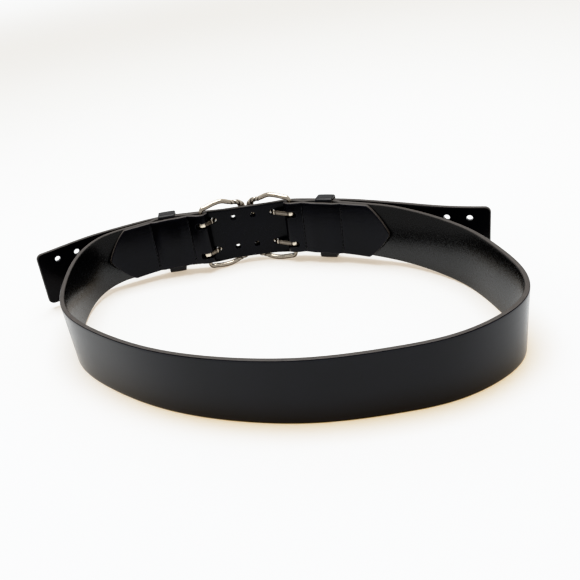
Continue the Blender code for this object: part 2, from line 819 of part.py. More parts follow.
def build_prong(side, level):
    """Build one prong of a buckle at the upper or the lower row."""
    buckle = buckles[side]
    height = hole_height(side, 1 if level == "upper" else -1) - BUCKLE_MIDDLE
    line = prong_line(side)
    bm = bmesh.new()
    loops = []
    for i, (ahead, out) in enumerate(line):
        before = line[max(0, i - 1)]
        after = line[min(len(line) - 1, i + 1)]
        size = hypot(after[0] - before[0], after[1] - before[1])
        normal = (-(after[1] - before[1]) / size, (after[0] - before[0]) / size)
        taper = 0.72 if i == len(line) - 1 else 1.0
        ring = []
        for j in range(PRONG_SIDES):
            angle = 2 * pi * (j + 0.5) / PRONG_SIDES
            thick = PRONG_THICK / 2 * taper * cos(angle)
            wide = PRONG_WIDTH / 2 * taper * sin(angle)
            ring.append(buckle.world(ahead + normal[0] * thick, out + normal[1] * thick, height + wide))
        loops.append(ring)
    add_loops(bm, loops, closed=False)
    name = "prong_" + side + "_" + level
    return new_object(name, finish_mesh(bm, name))


def make_material(name, colour, roughness, metallic):
    """Return a Principled material with a plain colour."""
    material = bpy.data.materials.new(name)
    material.use_nodes = True
    shader = material.node_tree.nodes["Principled BSDF"]
    shader.inputs["Base Color"].default_value = (*colour, 1.0)
    shader.inputs["Roughness"].default_value = roughness
    shader.inputs["Metallic"].default_value = metallic
    return material


def centre_objects(items):
    """Move all meshes so that the model stands centred on the origin."""
    points = [vertex.co for item in items for vertex in item.data.vertices]
    x = (min(p.x for p in points) + max(p.x for p in points)) / 2
    y = (min(p.y for p in points) + max(p.y for p in points)) / 2
    z = min(p.z for p in points)
    for item in items:
        for vertex in item.data.vertices:
            vertex.co.x -= x
            vertex.co.y -= y
            vertex.co.z -= z


def build():
    """Build every piece of the belt."""
    for item in list(bpy.data.objects):
        bpy.data.objects.remove(item)
    items = []
    items.append((build_strap(), "strap_leather", (0.022, 0.022, 0.025), 0.45, 0.0))
    items.append((build_tab(), "tab_leather", (0.020, 0.020, 0.023), 0.48, 0.0))
    for side in ("left", "right"):
        items.append((build_keeper(side), "keeper_leather_" + side, (0.024, 0.024, 0.027), 0.5, 0.0))
    for side in ("left", "right"):
        items.append((build_frame(side), "frame_nickel_" + side, (0.62, 0.58, 0.53), 0.26, 1.0))
    for side in ("left", "right"):
        for level in ("upper", "lower"):
            name = "prong_nickel_" + side + "_" + level
            items.append((build_prong(side, level), name, (0.64, 0.61, 0.57), 0.3, 1.0))
    for item, name, colour, roughness, metallic in items:
        item.data.materials.clear()
        item.data.materials.append(make_material(name, colour, roughness, metallic))
        item.data.polygons.foreach_set("use_smooth", [True] * len(item.data.polygons))
        item.data.set_sharp_from_angle(angle=radians(32))
    centre_objects([row[0] for row in items])


build()
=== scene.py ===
"""Finished look of a leather belt standing on edge, with two buckles that share one holed tab.

Laid out as an add-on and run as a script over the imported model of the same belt.
Metres, +Z up. Leather is laid out flat as (along, height, depth) and then bent round the loop.
"""

from functools import cached_property

import bpy
import numpy as np
from bpy.props import FloatProperty, FloatVectorProperty, IntProperty, PointerProperty
from mathutils import Matrix


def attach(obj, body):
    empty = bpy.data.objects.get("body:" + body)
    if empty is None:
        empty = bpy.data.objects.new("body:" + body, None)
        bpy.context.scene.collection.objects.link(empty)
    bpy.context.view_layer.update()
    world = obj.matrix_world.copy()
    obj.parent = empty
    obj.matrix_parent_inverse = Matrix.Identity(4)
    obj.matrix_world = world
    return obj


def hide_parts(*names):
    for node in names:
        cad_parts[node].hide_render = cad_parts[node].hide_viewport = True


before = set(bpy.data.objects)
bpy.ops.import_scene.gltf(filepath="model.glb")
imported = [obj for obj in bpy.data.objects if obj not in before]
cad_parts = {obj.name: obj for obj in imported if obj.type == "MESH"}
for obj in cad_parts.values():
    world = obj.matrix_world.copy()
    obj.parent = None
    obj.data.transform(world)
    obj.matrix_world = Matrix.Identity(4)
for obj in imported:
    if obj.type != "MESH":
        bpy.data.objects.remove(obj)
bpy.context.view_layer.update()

bl_info = {
    "name": "Double buckle belt",
    "version": (1, 0, 0),
    "blender": (4, 5, 0),
    "location": "3D View > Sidebar > Belt",
    "description": "Builds the leather, the buckles and the stage of a double buckle belt",
    "category": "Add Mesh",
}

# Close steps along every line
LINE_STEP = 0.0005

# Plan of the loop on the line midway between the leather layers: shares across and deep,
# from beside the left heel bar to beside the right heel bar
LOOP_ACROSS = 0.3412
LOOP_DEEP = 0.2656
PLAN_SHIFT = (0.0095216, -0.1391660)
LOOP_PLAN = (
    (-0.2603, 0.9990), (-0.3510, 0.9810), (-0.4167, 0.9511), (-0.4730, 0.8615), (-0.4970, 0.6975),
    (-0.4791, 0.5025), (-0.3845, 0.3192), (-0.2604, 0.1768), (-0.1189, 0.0773), (0.0259, 0.0186),
    (0.1786, 0.0016), (0.2859, 0.0095), (0.3868, 0.0558), (0.4647, 0.1395), (0.4954, 0.2483),
    (0.4922, 0.3957), (0.4674, 0.5463), (0.4096, 0.6740), (0.3223, 0.7787), (0.2086, 0.8758),
)
# Where the fronts of the two buckles meet, in the same shares
BUCKLE_MEETING = (-0.0303, 1.0343)

# The tab's free ends, in the same shares, and how they lean
RIGHT_WING = ((0.5833, 0.6186), (0.5187, 0.6540), (0.4332, 0.7086))
LEFT_WING = ((-0.4919, 0.9456), (-0.6018, 0.8778), (-0.6531, 0.8458))
RIGHT_WING_START = 0.1000
LEFT_WING_START = 0.0620
LEFT_LEAN_START = 0.0950
RIGHT_WING_LEAN = -8.0
LEFT_WING_LEAN = -10.0

# Turned-back ends, as distances from the heel bar
FOLD_RUN = 0.0020
NEAR_STITCH = 0.0120
KEEPER_CENTRE = 0.0320
KEEPER_WIDTH = 0.0155
KEEPER_EASE = 0.0015
KEEPER_BEND = 0.001
KEEPER_BEVEL = 0.0007
KEEPER_CROWN = 0.00022
FAR_STITCH = 0.0480
RETURN_LENGTH = 0.0930
RETURN_POINT = 0.0195
POINT_BLUNT = 0.0006
SINGLE_LAYER = 0.1500
END_WIDTH_SHARE = 0.964
NARROW_START = 0.0500
NARROW_FOOT = 0.1000
CLIMB_TOP = 0.0100
CLIMB_FOOT = 0.2000

# Room between pieces
GAP = 0.0003
TAB_SLACK = 0.0006
BEND_SLACK = 0.0002
KEEPER_ROOM = 0.00015
SLOT_ROOM = 0.0006
RAIL_CLEARANCE = 0.00085
STRAP_CLEARANCE = 0.0010
FRONT_SPACE = 0.0006

# Frames
RAIL_BOW = 0.00215
RAIL_BOW_POWER = 1.2
FRAME_RISE = 0.0020
STRAP_RISE = 0.00295
HEEL_CORNER = 0.0042
FRONT_CORNER = 0.0070
UPPER_DROP = 0.0024
LOWER_DROP = 0.0005
DROP_START = 0.50
TWIST_START = 0.76
TWIST_TURNS = 3
FRAME_TURN = {"left": 18.0, "right": 29.0}

# Prongs and the slots that let them through the folds
PRONG_WRAP = 272.0
PRONG_LEAN = 66.0
PRONG_REACH = 0.0042
PRONG_DROP = 0.0003
PRONG_CORNER = 0.0022
PRONG_SLIM = 0.94
PRONG_ENDS = (0.0010, 0.0018)
FLUTE_WAVES = 9
FLUTE_FADE = 0.0006
FLUTE_DEPTH = 0.16
CREASE_PLACES = (0.0004, -0.0016)
CREASE_WIDTH = 0.0005
CREASE_DEPTH = 0.30
CREASE_NARROWS = 0.22
PRONG_ROW_SHARE = 0.298
PRONG_COLUMN = {"left": 13, "right": 10}
LEFT_PRONG_REACH = 0.0122
ROW_RISE = 0.00155
SLOT_INSIDE = 0.0054
SLOT_OUTSIDE = 0.0052

# Tab. The holes between the buckles, never used, are tighter on the outer face
HOLE_COLUMNS = 22
RIGHT_END_MARGIN = 0.0165
LEFT_END_MARGIN = 0.0180
TAB_CORNER = 0.0050
HOLE_SHIFTS = ((0, 0.0), (8, 0.0030), (15, 0.0030), (21, 0.0))
TIGHT_COLUMNS = (11, 12)
TIGHT_HOLE = 0.0012
TAB_WAIST = 0.0012
WAIST_RUN = 0.0250

# Finish of the leather: the rims of its holes, its swollen edges, the grooves and stitches of its seams
HOLE_RIM = 0.0004
EDGE_SWELL = 0.0001
SEAM_DEPTH = 0.0005
SEAM_WIDTH = 0.0010
SEAM_MARGIN = 0.0032
THREAD_SINK = 0.00022
THREAD_DIVE = 0.0005
THREAD_SHARE = 0.86
THREAD_SLANT = 0.00028
BACK_SHIFT = (0.0, 0.2)

# Relief: the depth of a bump's height of one, and how far the walls seem to lean out, as a slope
# reached at the height LEAN_TOP. The rough side cups the other way, and less at the loop's left end
RELIEF = 0.00005
WALL_LEAN = 0.10
LEAN_TOP = 0.055
FLESH_CUP = 4.4
CALM_RUN = (-0.178, -0.115)
CALM_SHARE = 0.42

# The floor's painted light: its emission glows warm and shows as painted warm shade in its shadows,
# yellow in front of the belt, paler behind its front wall and round it, near white far away
FLOOR_RADIUS = 9.0
FLOOR_BEHIND = (0.53, 0.615, 0.70)
PAINTED_GLOW_TURN = (-0.13, 0.02)
PAINTED_GLOW_BEHIND = (0.50, 0.40, 0.29)
PAINTED_GLOW_REACH = (0.25, 1.10)
PAINTED_GLOW_ROUND = (0.42, 0.315, 0.19)
PAINTED_GLOW_LIMIT = (1.5, 5.0)
PAINTED_GLOW_FAR = (0.85, 0.82, 0.78)

# Camera, its angles in radians and its shift in shares of the picture's width
CAMERA_PLACE = (-0.008278, -0.506016, 0.293316)
CAMERA_PITCH = 0.5502456592412172
CAMERA_ROLL = 0.17146533566574
CAMERA_SHIFT = (28 / 580, 55 / 580)

# Camera's tone curve: light and the brightness shown
TONE_WHITE = 1.6
TONE_POINTS = (
    (0.007, 0.0015), (0.015, 0.0055), (0.03, 0.0185), (0.06, 0.050), (0.10, 0.095),
    (0.25, 0.25), (0.55, 0.56), (0.80, 0.78), (1.00, 0.89), (1.25, 0.965),
)

FRONT, BACK, EDGE, TURNED = 0, 1, 2, 3
SIDES = ("left", "right")


def size(name, description, default):
    """A length for the sidebar."""
    return FloatProperty(name=name, description=description, default=default, unit="LENGTH")


def paint(name, description, default):
    """A colour for the sidebar."""
    return FloatVectorProperty(name=name, description=description, default=default, subtype="COLOR")


class BeltLeather(bpy.types.PropertyGroup):
    """Sizes and colours of the leather and its thread"""

    strap_width: size("Strap width", "Height of the strap on edge", 0.050)
    tab_width: size("Tab width", "Height of the holed tab on edge", 0.0523)
    thickness: size("Thickness", "Thickness of the strap and the tab", 0.0038)
    keeper_thickness: size("Keeper thickness", "Thickness of the keepers", 0.0022)
    rounding: size("Edge rounding", "How far the edges are rounded", 0.0008)
    hole_radius: size("Hole radius", "Radius of the tab's holes", 0.0026)
    hole_pitch: size("Hole spacing", "Distance between holes", 0.0184)
    thread_radius: size("Thread radius", "Radius of the sewing thread", 0.00042)
    stitches: IntProperty(name="Stitches", description="Stitches in one row", default=12, min=4)
    colour: paint("Leather", "Colour of the leather", (0.0017, 0.0017, 0.0036))
    flesh_colour: paint("Inside", "Colour of the rough side", (0.0006, 0.0006, 0.0007))
    edge_colour: paint("Cut edge", "Colour of the cut edge", (0.060, 0.052, 0.047))
    thread_colour: paint("Thread", "Colour of the thread", (0.004, 0.004, 0.0045))


class BeltMetal(bpy.types.PropertyGroup):
    """Sizes and colour of the buckles and their prongs"""

    wire_radius: size("Wire radius", "Radius of the heel bars", 0.0017)
    rail_radius: size("Rail radius", "Radius of the rails", 0.0022)
    bar_radius: size("Front bar radius", "Radius of the front bars", 0.0036)
    frame_length: size("Frame length", "Heel bar to front bar", 0.0405)
    twist_spacing: size("Twist spacing", "Distance between the bar's grooves", 0.0040)
    twist_depth: size("Twist depth", "Depth of the bar's grooves", 0.0010)
    prong_width: size("Prong width", "Width of a prong", 0.0044)
    prong_thickness: size("Prong thickness", "Thickness of a prong", 0.0022)
    colour: paint("Nickel", "Colour of the plating", (0.70, 0.62, 0.51))


class BeltStage(bpy.types.PropertyGroup):
    """The floor, the lights and the camera"""

    # Painted light: the floor's warm emission paints its shadows warm; its colour is bluish so that the lit
    # floor shows near white
    floor_colour: paint("Floor", "Colour of the floor", (0.53, 0.71, 0.93))
    floor_painted_glow: paint("Floor glow", "Warm glow of the floor", (0.50, 0.275, 0.0))
    daylight: FloatProperty(name="Daylight", description="Brightness all round", default=0.50)
    overhead: FloatProperty(name="Overhead", description="Power of the overhead panel", default=43.0)
    backdrop: FloatProperty(name="Backdrop", description="Power of the panel at the back", default=15.0)
    lens: FloatProperty(name="Lens", description="Focal length in millimetres", default=44.555)


def joined(*parts):
    """Spread arrays over each other and set them side by side along a last axis."""
    return np.stack(np.broadcast_arrays(*parts), -1)


def raised(flat, third):
    """Add a third part to flat points."""
    return joined(flat[..., 0], flat[..., 1], third)


def unit(rows):
    """Directions of length one."""
    return rows / np.linalg.norm(rows, axis=1)[:, None]


def round_turn(count):
    """Angles once round."""
    return np.radians(np.linspace(0, 360, count))


def travelled(points):
    """Distance along a line at each of its points."""
    return np.append(0.0, np.cumsum(np.linalg.norm(np.diff(points, axis=0), axis=1)))


def eased(table, value):
    """Read (position, amount) rows, with half a cosine wave between each two rows."""
    at, amount = np.array(table, float).T
    i = np.clip(np.searchsorted(at, value, side="right") - 1, 0, len(at) - 2)
    share = np.clip((value - at[i]) / (at[i + 1] - at[i]), 0, 1)
    return amount[i] + (amount[i + 1] - amount[i]) * (1 - np.cos(np.pi * share)) / 2


def spaced(marks, steps):
    """Spread values evenly between each two marks, no further apart than that stretch's step."""
    parts = []
    for start, end, step in zip(marks, marks[1:], steps):
        parts.append(np.linspace(start, end, max(1, round((end - start) / step)), endpoint=False))
    return np.append(np.concatenate(parts), marks[-1])


def plan_points(table):
    """Turn (across, deep) shares into plan points of the model."""
    return np.array(table) * (LOOP_ACROSS, LOOP_DEEP) + PLAN_SHIFT


def smooth_line(knots):
    """Close points on the natural cubic spline through the knots.

    The knots' second slopes solve the usual rows of three. Between two knots a point is the straight
    blend a, b of the knots plus ((a^3 - a) and (b^3 - b) times the slopes) times the span squared over six.
    """
    knots = np.asarray(knots, float)
    spans = np.linalg.norm(np.diff(knots, axis=0), axis=1)
    rows = np.arange(1, len(knots) - 1)
    system = np.eye(len(knots))
    system[rows, rows - 1] = spans[:-1]
    system[rows, rows] = 2 * (spans[:-1] + spans[1:])
    system[rows, rows + 1] = spans[1:]
    target = np.zeros_like(knots)
    target[rows] = 6 * np.diff(np.diff(knots, axis=0) / spans[:, None], axis=0)
    bends = np.linalg.solve(system, target)
    pieces = np.maximum(2, (spans / LINE_STEP).astype(int))
    i = np.repeat(np.arange(len(spans)), pieces)
    b = ((np.arange(len(i)) - (np.cumsum(pieces) - pieces)[i]) / pieces[i])[:, None]
    a = 1 - b
    curve = ((a**3 - a) * bends[i] + (b**3 - b) * bends[i + 1]) * spans[i, None] ** 2 / 6
    return np.vstack((a * knots[i] + b * knots[i + 1] + curve, knots[-1:]))


class PlanLine:
    """A plan line as arrays, read by the distance along it and the distance to its right."""

    def __init__(self, points, lifts=0.0, soften=0):
        self.points = np.asarray(points, float)
        self.distances = travelled(self.points)
        self.length = self.distances[-1]
        padded = np.vstack((self.points[:1], self.points, self.points[-1:]))
        headings = unit(padded[2:] - padded[:-2])
        if soften:
            kernel = np.hanning(2 * soften + 3)[1:-1]
            padded = np.pad(headings, ((soften, soften), (0, 0)), mode="edge")
            rows = [np.convolve(row, kernel / kernel.sum(), mode="valid") for row in padded.T]
            headings = joined(*rows)
        self.rows = np.vstack((self.points.T, headings.T, np.broadcast_to(lifts, len(self.points))))

    def read(self, along):
        """Position, unit heading and lift at distances along the line."""
        x, y, hx, hy, lift = (np.interp(along, self.distances, row) for row in self.rows)
        reach = np.hypot(hx, hy)
        return x, y, hx / reach, hy / reach, lift

    def at(self, along, right=0.0, ahead=0.0):
        """Plan points at distances along the line, and from there to its right and straight ahead."""
        x, y, hx, hy, _ = self.read(along)
        return joined(x + hx * ahead + hy * right, y + hy * ahead - hx * right)

    def nearest(self, point):
        """Distance along the line that comes nearest to a point."""
        return self.distances[np.argmin(np.linalg.norm(self.points - point, axis=1))]

    def bend(self, flat):
        """Carry (along, height, depth) points round the line: depth goes to its right, height up."""
        along, height, depth = flat.T
        return raised(self.at(along, depth), height + self.read(along)[4])


class Buckle:
    """One buckle's heel bar, its direction ahead and its direction outwards, in plan."""

    def __init__(self, side, meeting, reach, middle):
        turn = np.radians(FRAME_TURN[side])
        way = 1 if side == "left" else -1
        self.middle = middle
        self.ahead = np.array((way * np.cos(turn), np.sin(turn)))
        self.out = np.array((-way * np.sin(turn), np.cos(turn)))
        self.heel = meeting - self.ahead * reach

    def world(self, ahead, out, height):
        """Model points from distances ahead, outwards and above the buckle's middle."""
        x, y = (h + ahead * a + out * o for h, a, o in zip(self.heel, self.ahead, self.out))
        return joined(x, y, self.middle + height)

    def local(self, points):
        """Distances ahead and outwards of plan points."""
        away = np.asarray(points) - self.heel
        return joined(away @ self.ahead, away @ self.out)


class Layout:
    """Every line and level that the pieces share, worked out from the belt's sizes."""

    def __init__(self, scene):
        leather, metal = scene.belt_leather, scene.belt_metal
        self.leather, self.metal = leather, metal
        half = leather.thickness / 2
        self.half = half
        self.fold = metal.wire_radius + GAP + half
        self.pinch = half + GAP / 2
        self.keeper = leather.keeper_thickness / 2 + GAP + 2 * BEND_SLACK + half
        self.tab_half = leather.tab_width / 2
        self.end_width = leather.strap_width * END_WIDTH_SHARE
        self.widths = ((NARROW_START, self.end_width), (NARROW_FOOT, leather.strap_width))
        strap_room = self.end_width / 2 + STRAP_RISE - FRAME_RISE + STRAP_CLEARANCE
        self.rail_height = max(self.tab_half + RAIL_CLEARANCE, strap_room) + metal.rail_radius
        self.buckle_middle = self.rail_height + RAIL_BOW + metal.rail_radius
        self.tab_middle = self.buckle_middle - FRAME_RISE
        self.tab_over_keeper = self.keeper + leather.thickness + GAP
        self.row_height = PRONG_ROW_SHARE * leather.strap_width
        self.tab_length = RIGHT_END_MARGIN + (HOLE_COLUMNS - 1) * leather.hole_pitch + LEFT_END_MARGIN
        self.lift = self.tab_middle + STRAP_RISE - self.end_width / 2
        self.climb = ((CLIMB_TOP, self.lift), (CLIMB_FOOT, 0.0))
        self.layers = (
            (FOLD_RUN, self.fold), (NEAR_STITCH, self.pinch),
            (KEEPER_CENTRE - KEEPER_WIDTH / 2 - KEEPER_EASE, self.keeper),
            (KEEPER_CENTRE + KEEPER_WIDTH / 2 + KEEPER_EASE, self.keeper),
            (FAR_STITCH, self.pinch), (RETURN_LENGTH, self.pinch), (SINGLE_LAYER, 0.0),
        )
        meeting = plan_points([BUCKLE_MEETING])[0]
        turned = np.radians(sum(FRAME_TURN.values()) / 2)
        reach = metal.frame_length + (metal.bar_radius + FRONT_SPACE / 2) / np.cos(turned)
        self.buckles = {side: Buckle(side, meeting, reach, self.buckle_middle) for side in SIDES}
        heels = [buckle.heel for buckle in self.buckles.values()]
        self.loop = PlanLine(smooth_line(np.vstack((heels[0], plan_points(LOOP_PLAN), heels[1]))))
        self.strap, self.from_bar, self.folds, self.seams = self.strap_line()
        self.tab = self.tab_line()
        bars = [self.tab.nearest(heel) for heel in heels[::-1]]
        self.lean = (
            (0.0, np.tan(np.radians(RIGHT_WING_LEAN))),
            (bars[0] - RIGHT_WING_START, 0.0),
            (bars[1] + LEFT_LEAN_START, 0.0),
            (self.tab_length, np.tan(np.radians(LEFT_WING_LEAN))),
        )
        self.waist = (
            (bars[0], 0.0), (bars[0] + WAIST_RUN, TAB_WAIST),
            (bars[1] - WAIST_RUN, TAB_WAIST), (bars[1], 0.0),
        )

    def hole_along(self, column):
        """Distance along the tab of columns of holes."""
        return RIGHT_END_MARGIN + column * self.leather.hole_pitch - eased(HOLE_SHIFTS, column)

    def drawn_in(self, along, above):
        """Heights above the tab's middle once its long edges are drawn in between the buckles."""
        return above - (above / self.tab_half) ** 3 * eased(self.waist, along)

    def hole_height(self, side, level):
        """Height of a buckle's upper (1) or lower (-1) prong hole."""
        along = self.hole_along(PRONG_COLUMN[side])
        return self.tab_middle + self.drawn_in(along, ROW_RISE + level * self.row_height)

    def strap_line(self):
        """Line of the whole strap from its left point to its right point.

        Each turned-back end runs beside the loop at half the layers' distance, then half a circle
        goes round the heel bar and the outer layer runs beside the loop on its other side.
        """
        loop = self.loop
        back = np.arange(0.0, RETURN_LENGTH, LINE_STEP)[::-1] + LINE_STEP
        turn = np.radians(np.arange(-90, 90, 3))
        outer = np.linspace(0, loop.length, int(loop.length / LINE_STEP), endpoint=False)
        edge_distance = np.minimum(outer, loop.length - outer)
        right, ahead = self.fold * np.sin(turn), self.fold * np.cos(turn)
        points = (
            loop.at(back, -eased(self.layers, back)),
            loop.at(0.0, right, -ahead),
            loop.at(outer, eased(self.layers, edge_distance)),
            loop.at(loop.length, -right, ahead),
            loop.at(loop.length - back[::-1], -eased(self.layers, back[::-1])),
        )
        from_bar = np.concatenate((back, turn * 0, edge_distance, turn * 0, back[::-1]))
        line = PlanLine(np.concatenate(points), eased(self.climb, from_bar), soften=3)
        starts = np.cumsum([0] + [len(part) for part in points])
        folds = [line.distances[i] for i in starts[1:5]]
        runs = [line.distances[a:b] for a, b in zip(starts, starts[1:])]
        sewn = np.array((FAR_STITCH, NEAR_STITCH))
        seams = (
            np.interp(-sewn, -back, runs[0]),
            np.interp(sewn, outer, runs[2]),
            np.interp(loop.length - sewn, outer, runs[2]),
            np.interp(sewn, back[::-1], runs[4]),
        )
        return line, from_bar, folds, np.sort(np.concatenate(seams))

    def tab_line(self):
        """Line of the tab from its right end to its left end, over the strap and behind the front bars."""
        left, right, loop = self.buckles["left"], self.buckles["right"], self.loop
        thickness, metal = self.leather.thickness, self.metal
        bars = PlanLine([b.world(metal.frame_length, 0.0, 0.0)[:2] for b in (right, left)])
        over_pinch = self.pinch + thickness + GAP + TAB_SLACK
        over_bar = self.fold + thickness + GAP + BEND_SLACK
        under_front = metal.bar_radius + GAP + BEND_SLACK + self.half
        hold = KEEPER_WIDTH * 0.4
        end = loop.length
        beside = (
            (end - RIGHT_WING_START, over_pinch),
            (end - (RIGHT_WING_START + FAR_STITCH) / 2, over_pinch),
            (end - KEEPER_CENTRE - hold, self.tab_over_keeper),
            (end - KEEPER_CENTRE + hold, self.tab_over_keeper),
            (end, over_bar),
            (0.0, over_bar),
            (KEEPER_CENTRE - hold, self.tab_over_keeper),
            (KEEPER_CENTRE + hold, self.tab_over_keeper),
            (LEFT_WING_START, over_pinch),
        )
        rows = loop.at(*np.array(beside).T)
        fronts = bars.at(np.array((0.0, bars.length)), -under_front)
        knots = (plan_points(RIGHT_WING), rows[:5], fronts, rows[5:], plan_points(LEFT_WING))
        line = PlanLine(smooth_line(np.vstack(knots)))
        best = np.argmin(abs(left.local(line.points)[:, 0] - LEFT_PRONG_REACH))
        start = line.distances[best] - self.hole_along(PRONG_COLUMN["left"])
        count = int(self.tab_length / LINE_STEP)
        return PlanLine(line.at(start + self.tab_length * np.arange(count + 1) / count), soften=2)


def linked(name, data):
    """Put data on the scene as an object."""
    thing = bpy.data.objects.new(name, data)
    bpy.context.scene.collection.objects.link(thing)
    return thing


class Patches:
    """Quads gathered from grids. Each corner has a place, a place in the pattern and two marks.

    The first mark is how much the finish is rubbed or grooved. The second is how far inside a cut edge
    the corner is, or on metal how much it is darkened: painted shade where a frame faces down, and a darker
    prong shank.
    """

    def __init__(self):
        self.parts = []

    def add(self, points, pattern, marks, finish=0, keep=None):
        """Add a grid of points, two pattern numbers and two marks, with a finish for each quad."""
        marks = np.broadcast_to(marks, points.shape[:2] + (2,))
        data = np.concatenate((points, pattern, marks), -1)
        quads = np.stack((data[:-1, :-1], data[1:, :-1], data[1:, 1:], data[:-1, 1:]), axis=2)
        finishes = np.broadcast_to(finish, quads.shape[:2])
        keep = np.ones(quads.shape[:2], bool) if keep is None else keep
        self.parts.append((quads[keep], finishes[keep]))

    def build(self, name, materials, place=None):
        """Weld the corners that meet, bend the points with place, face outwards and link the piece."""
        quads = np.concatenate([part[0] for part in self.parts])
        finish = np.concatenate([part[1] for part in self.parts])
        corners = quads.reshape(-1, 7)
        keys = np.round(corners[:, :3] * 1e6).astype(np.int64)
        _, first, index = np.unique(keys, axis=0, return_index=True, return_inverse=True)
        index = index.reshape(-1, 4)
        points = corners[first, :3] if place is None else place(corners[first, :3])
        apart = index != np.roll(index, 1, axis=1)
        whole = apart.sum(axis=1) >= 3
        index, finish, apart = index[whole], finish[whole], apart[whole]
        pattern = quads[whole][..., 3:5]
        a, b, c, d = (points[index[:, i]] for i in range(4))
        volume = np.einsum("ij,ij->", a, np.cross(b, c)) + np.einsum("ij,ij->", a, np.cross(c, d))
        if volume < 0:
            index, apart, pattern = index[:, ::-1], apart[:, ::-1], pattern[:, ::-1]
            apart = index != np.roll(index, 1, axis=1)
        totals = apart.sum(axis=1)
        mesh = bpy.data.meshes.new(name)
        mesh.vertices.add(len(points))
        mesh.vertices.foreach_set("co", points.ravel())
        mesh.loops.add(int(totals.sum()))
        mesh.loops.foreach_set("vertex_index", index[apart].astype(np.int32))
        mesh.polygons.add(len(totals))
        mesh.polygons.foreach_set("loop_start", (np.cumsum(totals) - totals).astype(np.int32))
        mesh.polygons.foreach_set("loop_total", totals.astype(np.int32))
        mesh.polygons.foreach_set("material_index", finish.astype(np.int32))
        mesh.polygons.foreach_set("use_smooth", np.ones(len(totals), bool))
        mesh.update(calc_edges=True)
        layer = mesh.uv_layers.new(name="Flat")
        layer.uv.foreach_set("vector", pattern[apart].ravel())
        for number, title in enumerate(("rub", "band")):
            attribute = mesh.attributes.new(title, "FLOAT", "POINT")
            attribute.data.foreach_set("value", np.ascontiguousarray(corners[first, 5 + number]))
        if mesh.validate():
            raise RuntimeError(name + " has a broken mesh")
        for material in materials:
            mesh.materials.append(material)
        return linked(name, mesh)


def ride_along(piece, node=None):
    """Let a piece ride with the belt and stand for a CAD node."""
    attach(piece, "root")
    if node:
        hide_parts(node)


def band_profile(reach, half, back_round, front_round, crown):
    """Profile of a rounded edge from the back face to the front face as rows of (reach, depth).

    A quarter ellipse leaves each face, and between the two the band swells by a parabola.
    """
    turn = np.radians(np.linspace(0, 90, 5))
    share = np.array((1 / 3, 2 / 3))
    low, high = back_round - half, half - front_round
    out = np.concatenate((reach * np.sin(turn), reach + crown * 4 * share * (1 - share)))
    depth = np.concatenate((low - back_round * np.cos(turn), low + (high - low) * share))
    out = np.concatenate((out, reach * np.sin(turn[::-1])))
    return out, np.concatenate((depth, high + front_round * np.cos(turn[::-1])))


def hole(stations, levels, ends, height, half_block, length, radius, far):
    """Grid lines nearest to the block that a hole takes, the hole's centre, half length and two radii."""
    i0, i1 = (np.argmin(abs(stations - mark)) for mark in ends)
    j0, j1 = (np.argmin(abs(levels - mark)) for mark in (height - half_block, height + half_block))
    return i0, i1, j0, j1, sum(ends) / 2, height, length, radius, far


def sheet_levels(width, reach, rows, half_block, outer, beside, between):
    """Heights of the grid from edge to edge, with its steps outside, beside and between the rows of holes."""
    low, high = joined(np.array(rows) - half_block, np.array(rows) + half_block)
    return spaced((reach, *low, *high, width - reach), (outer, beside, between, beside, outer))


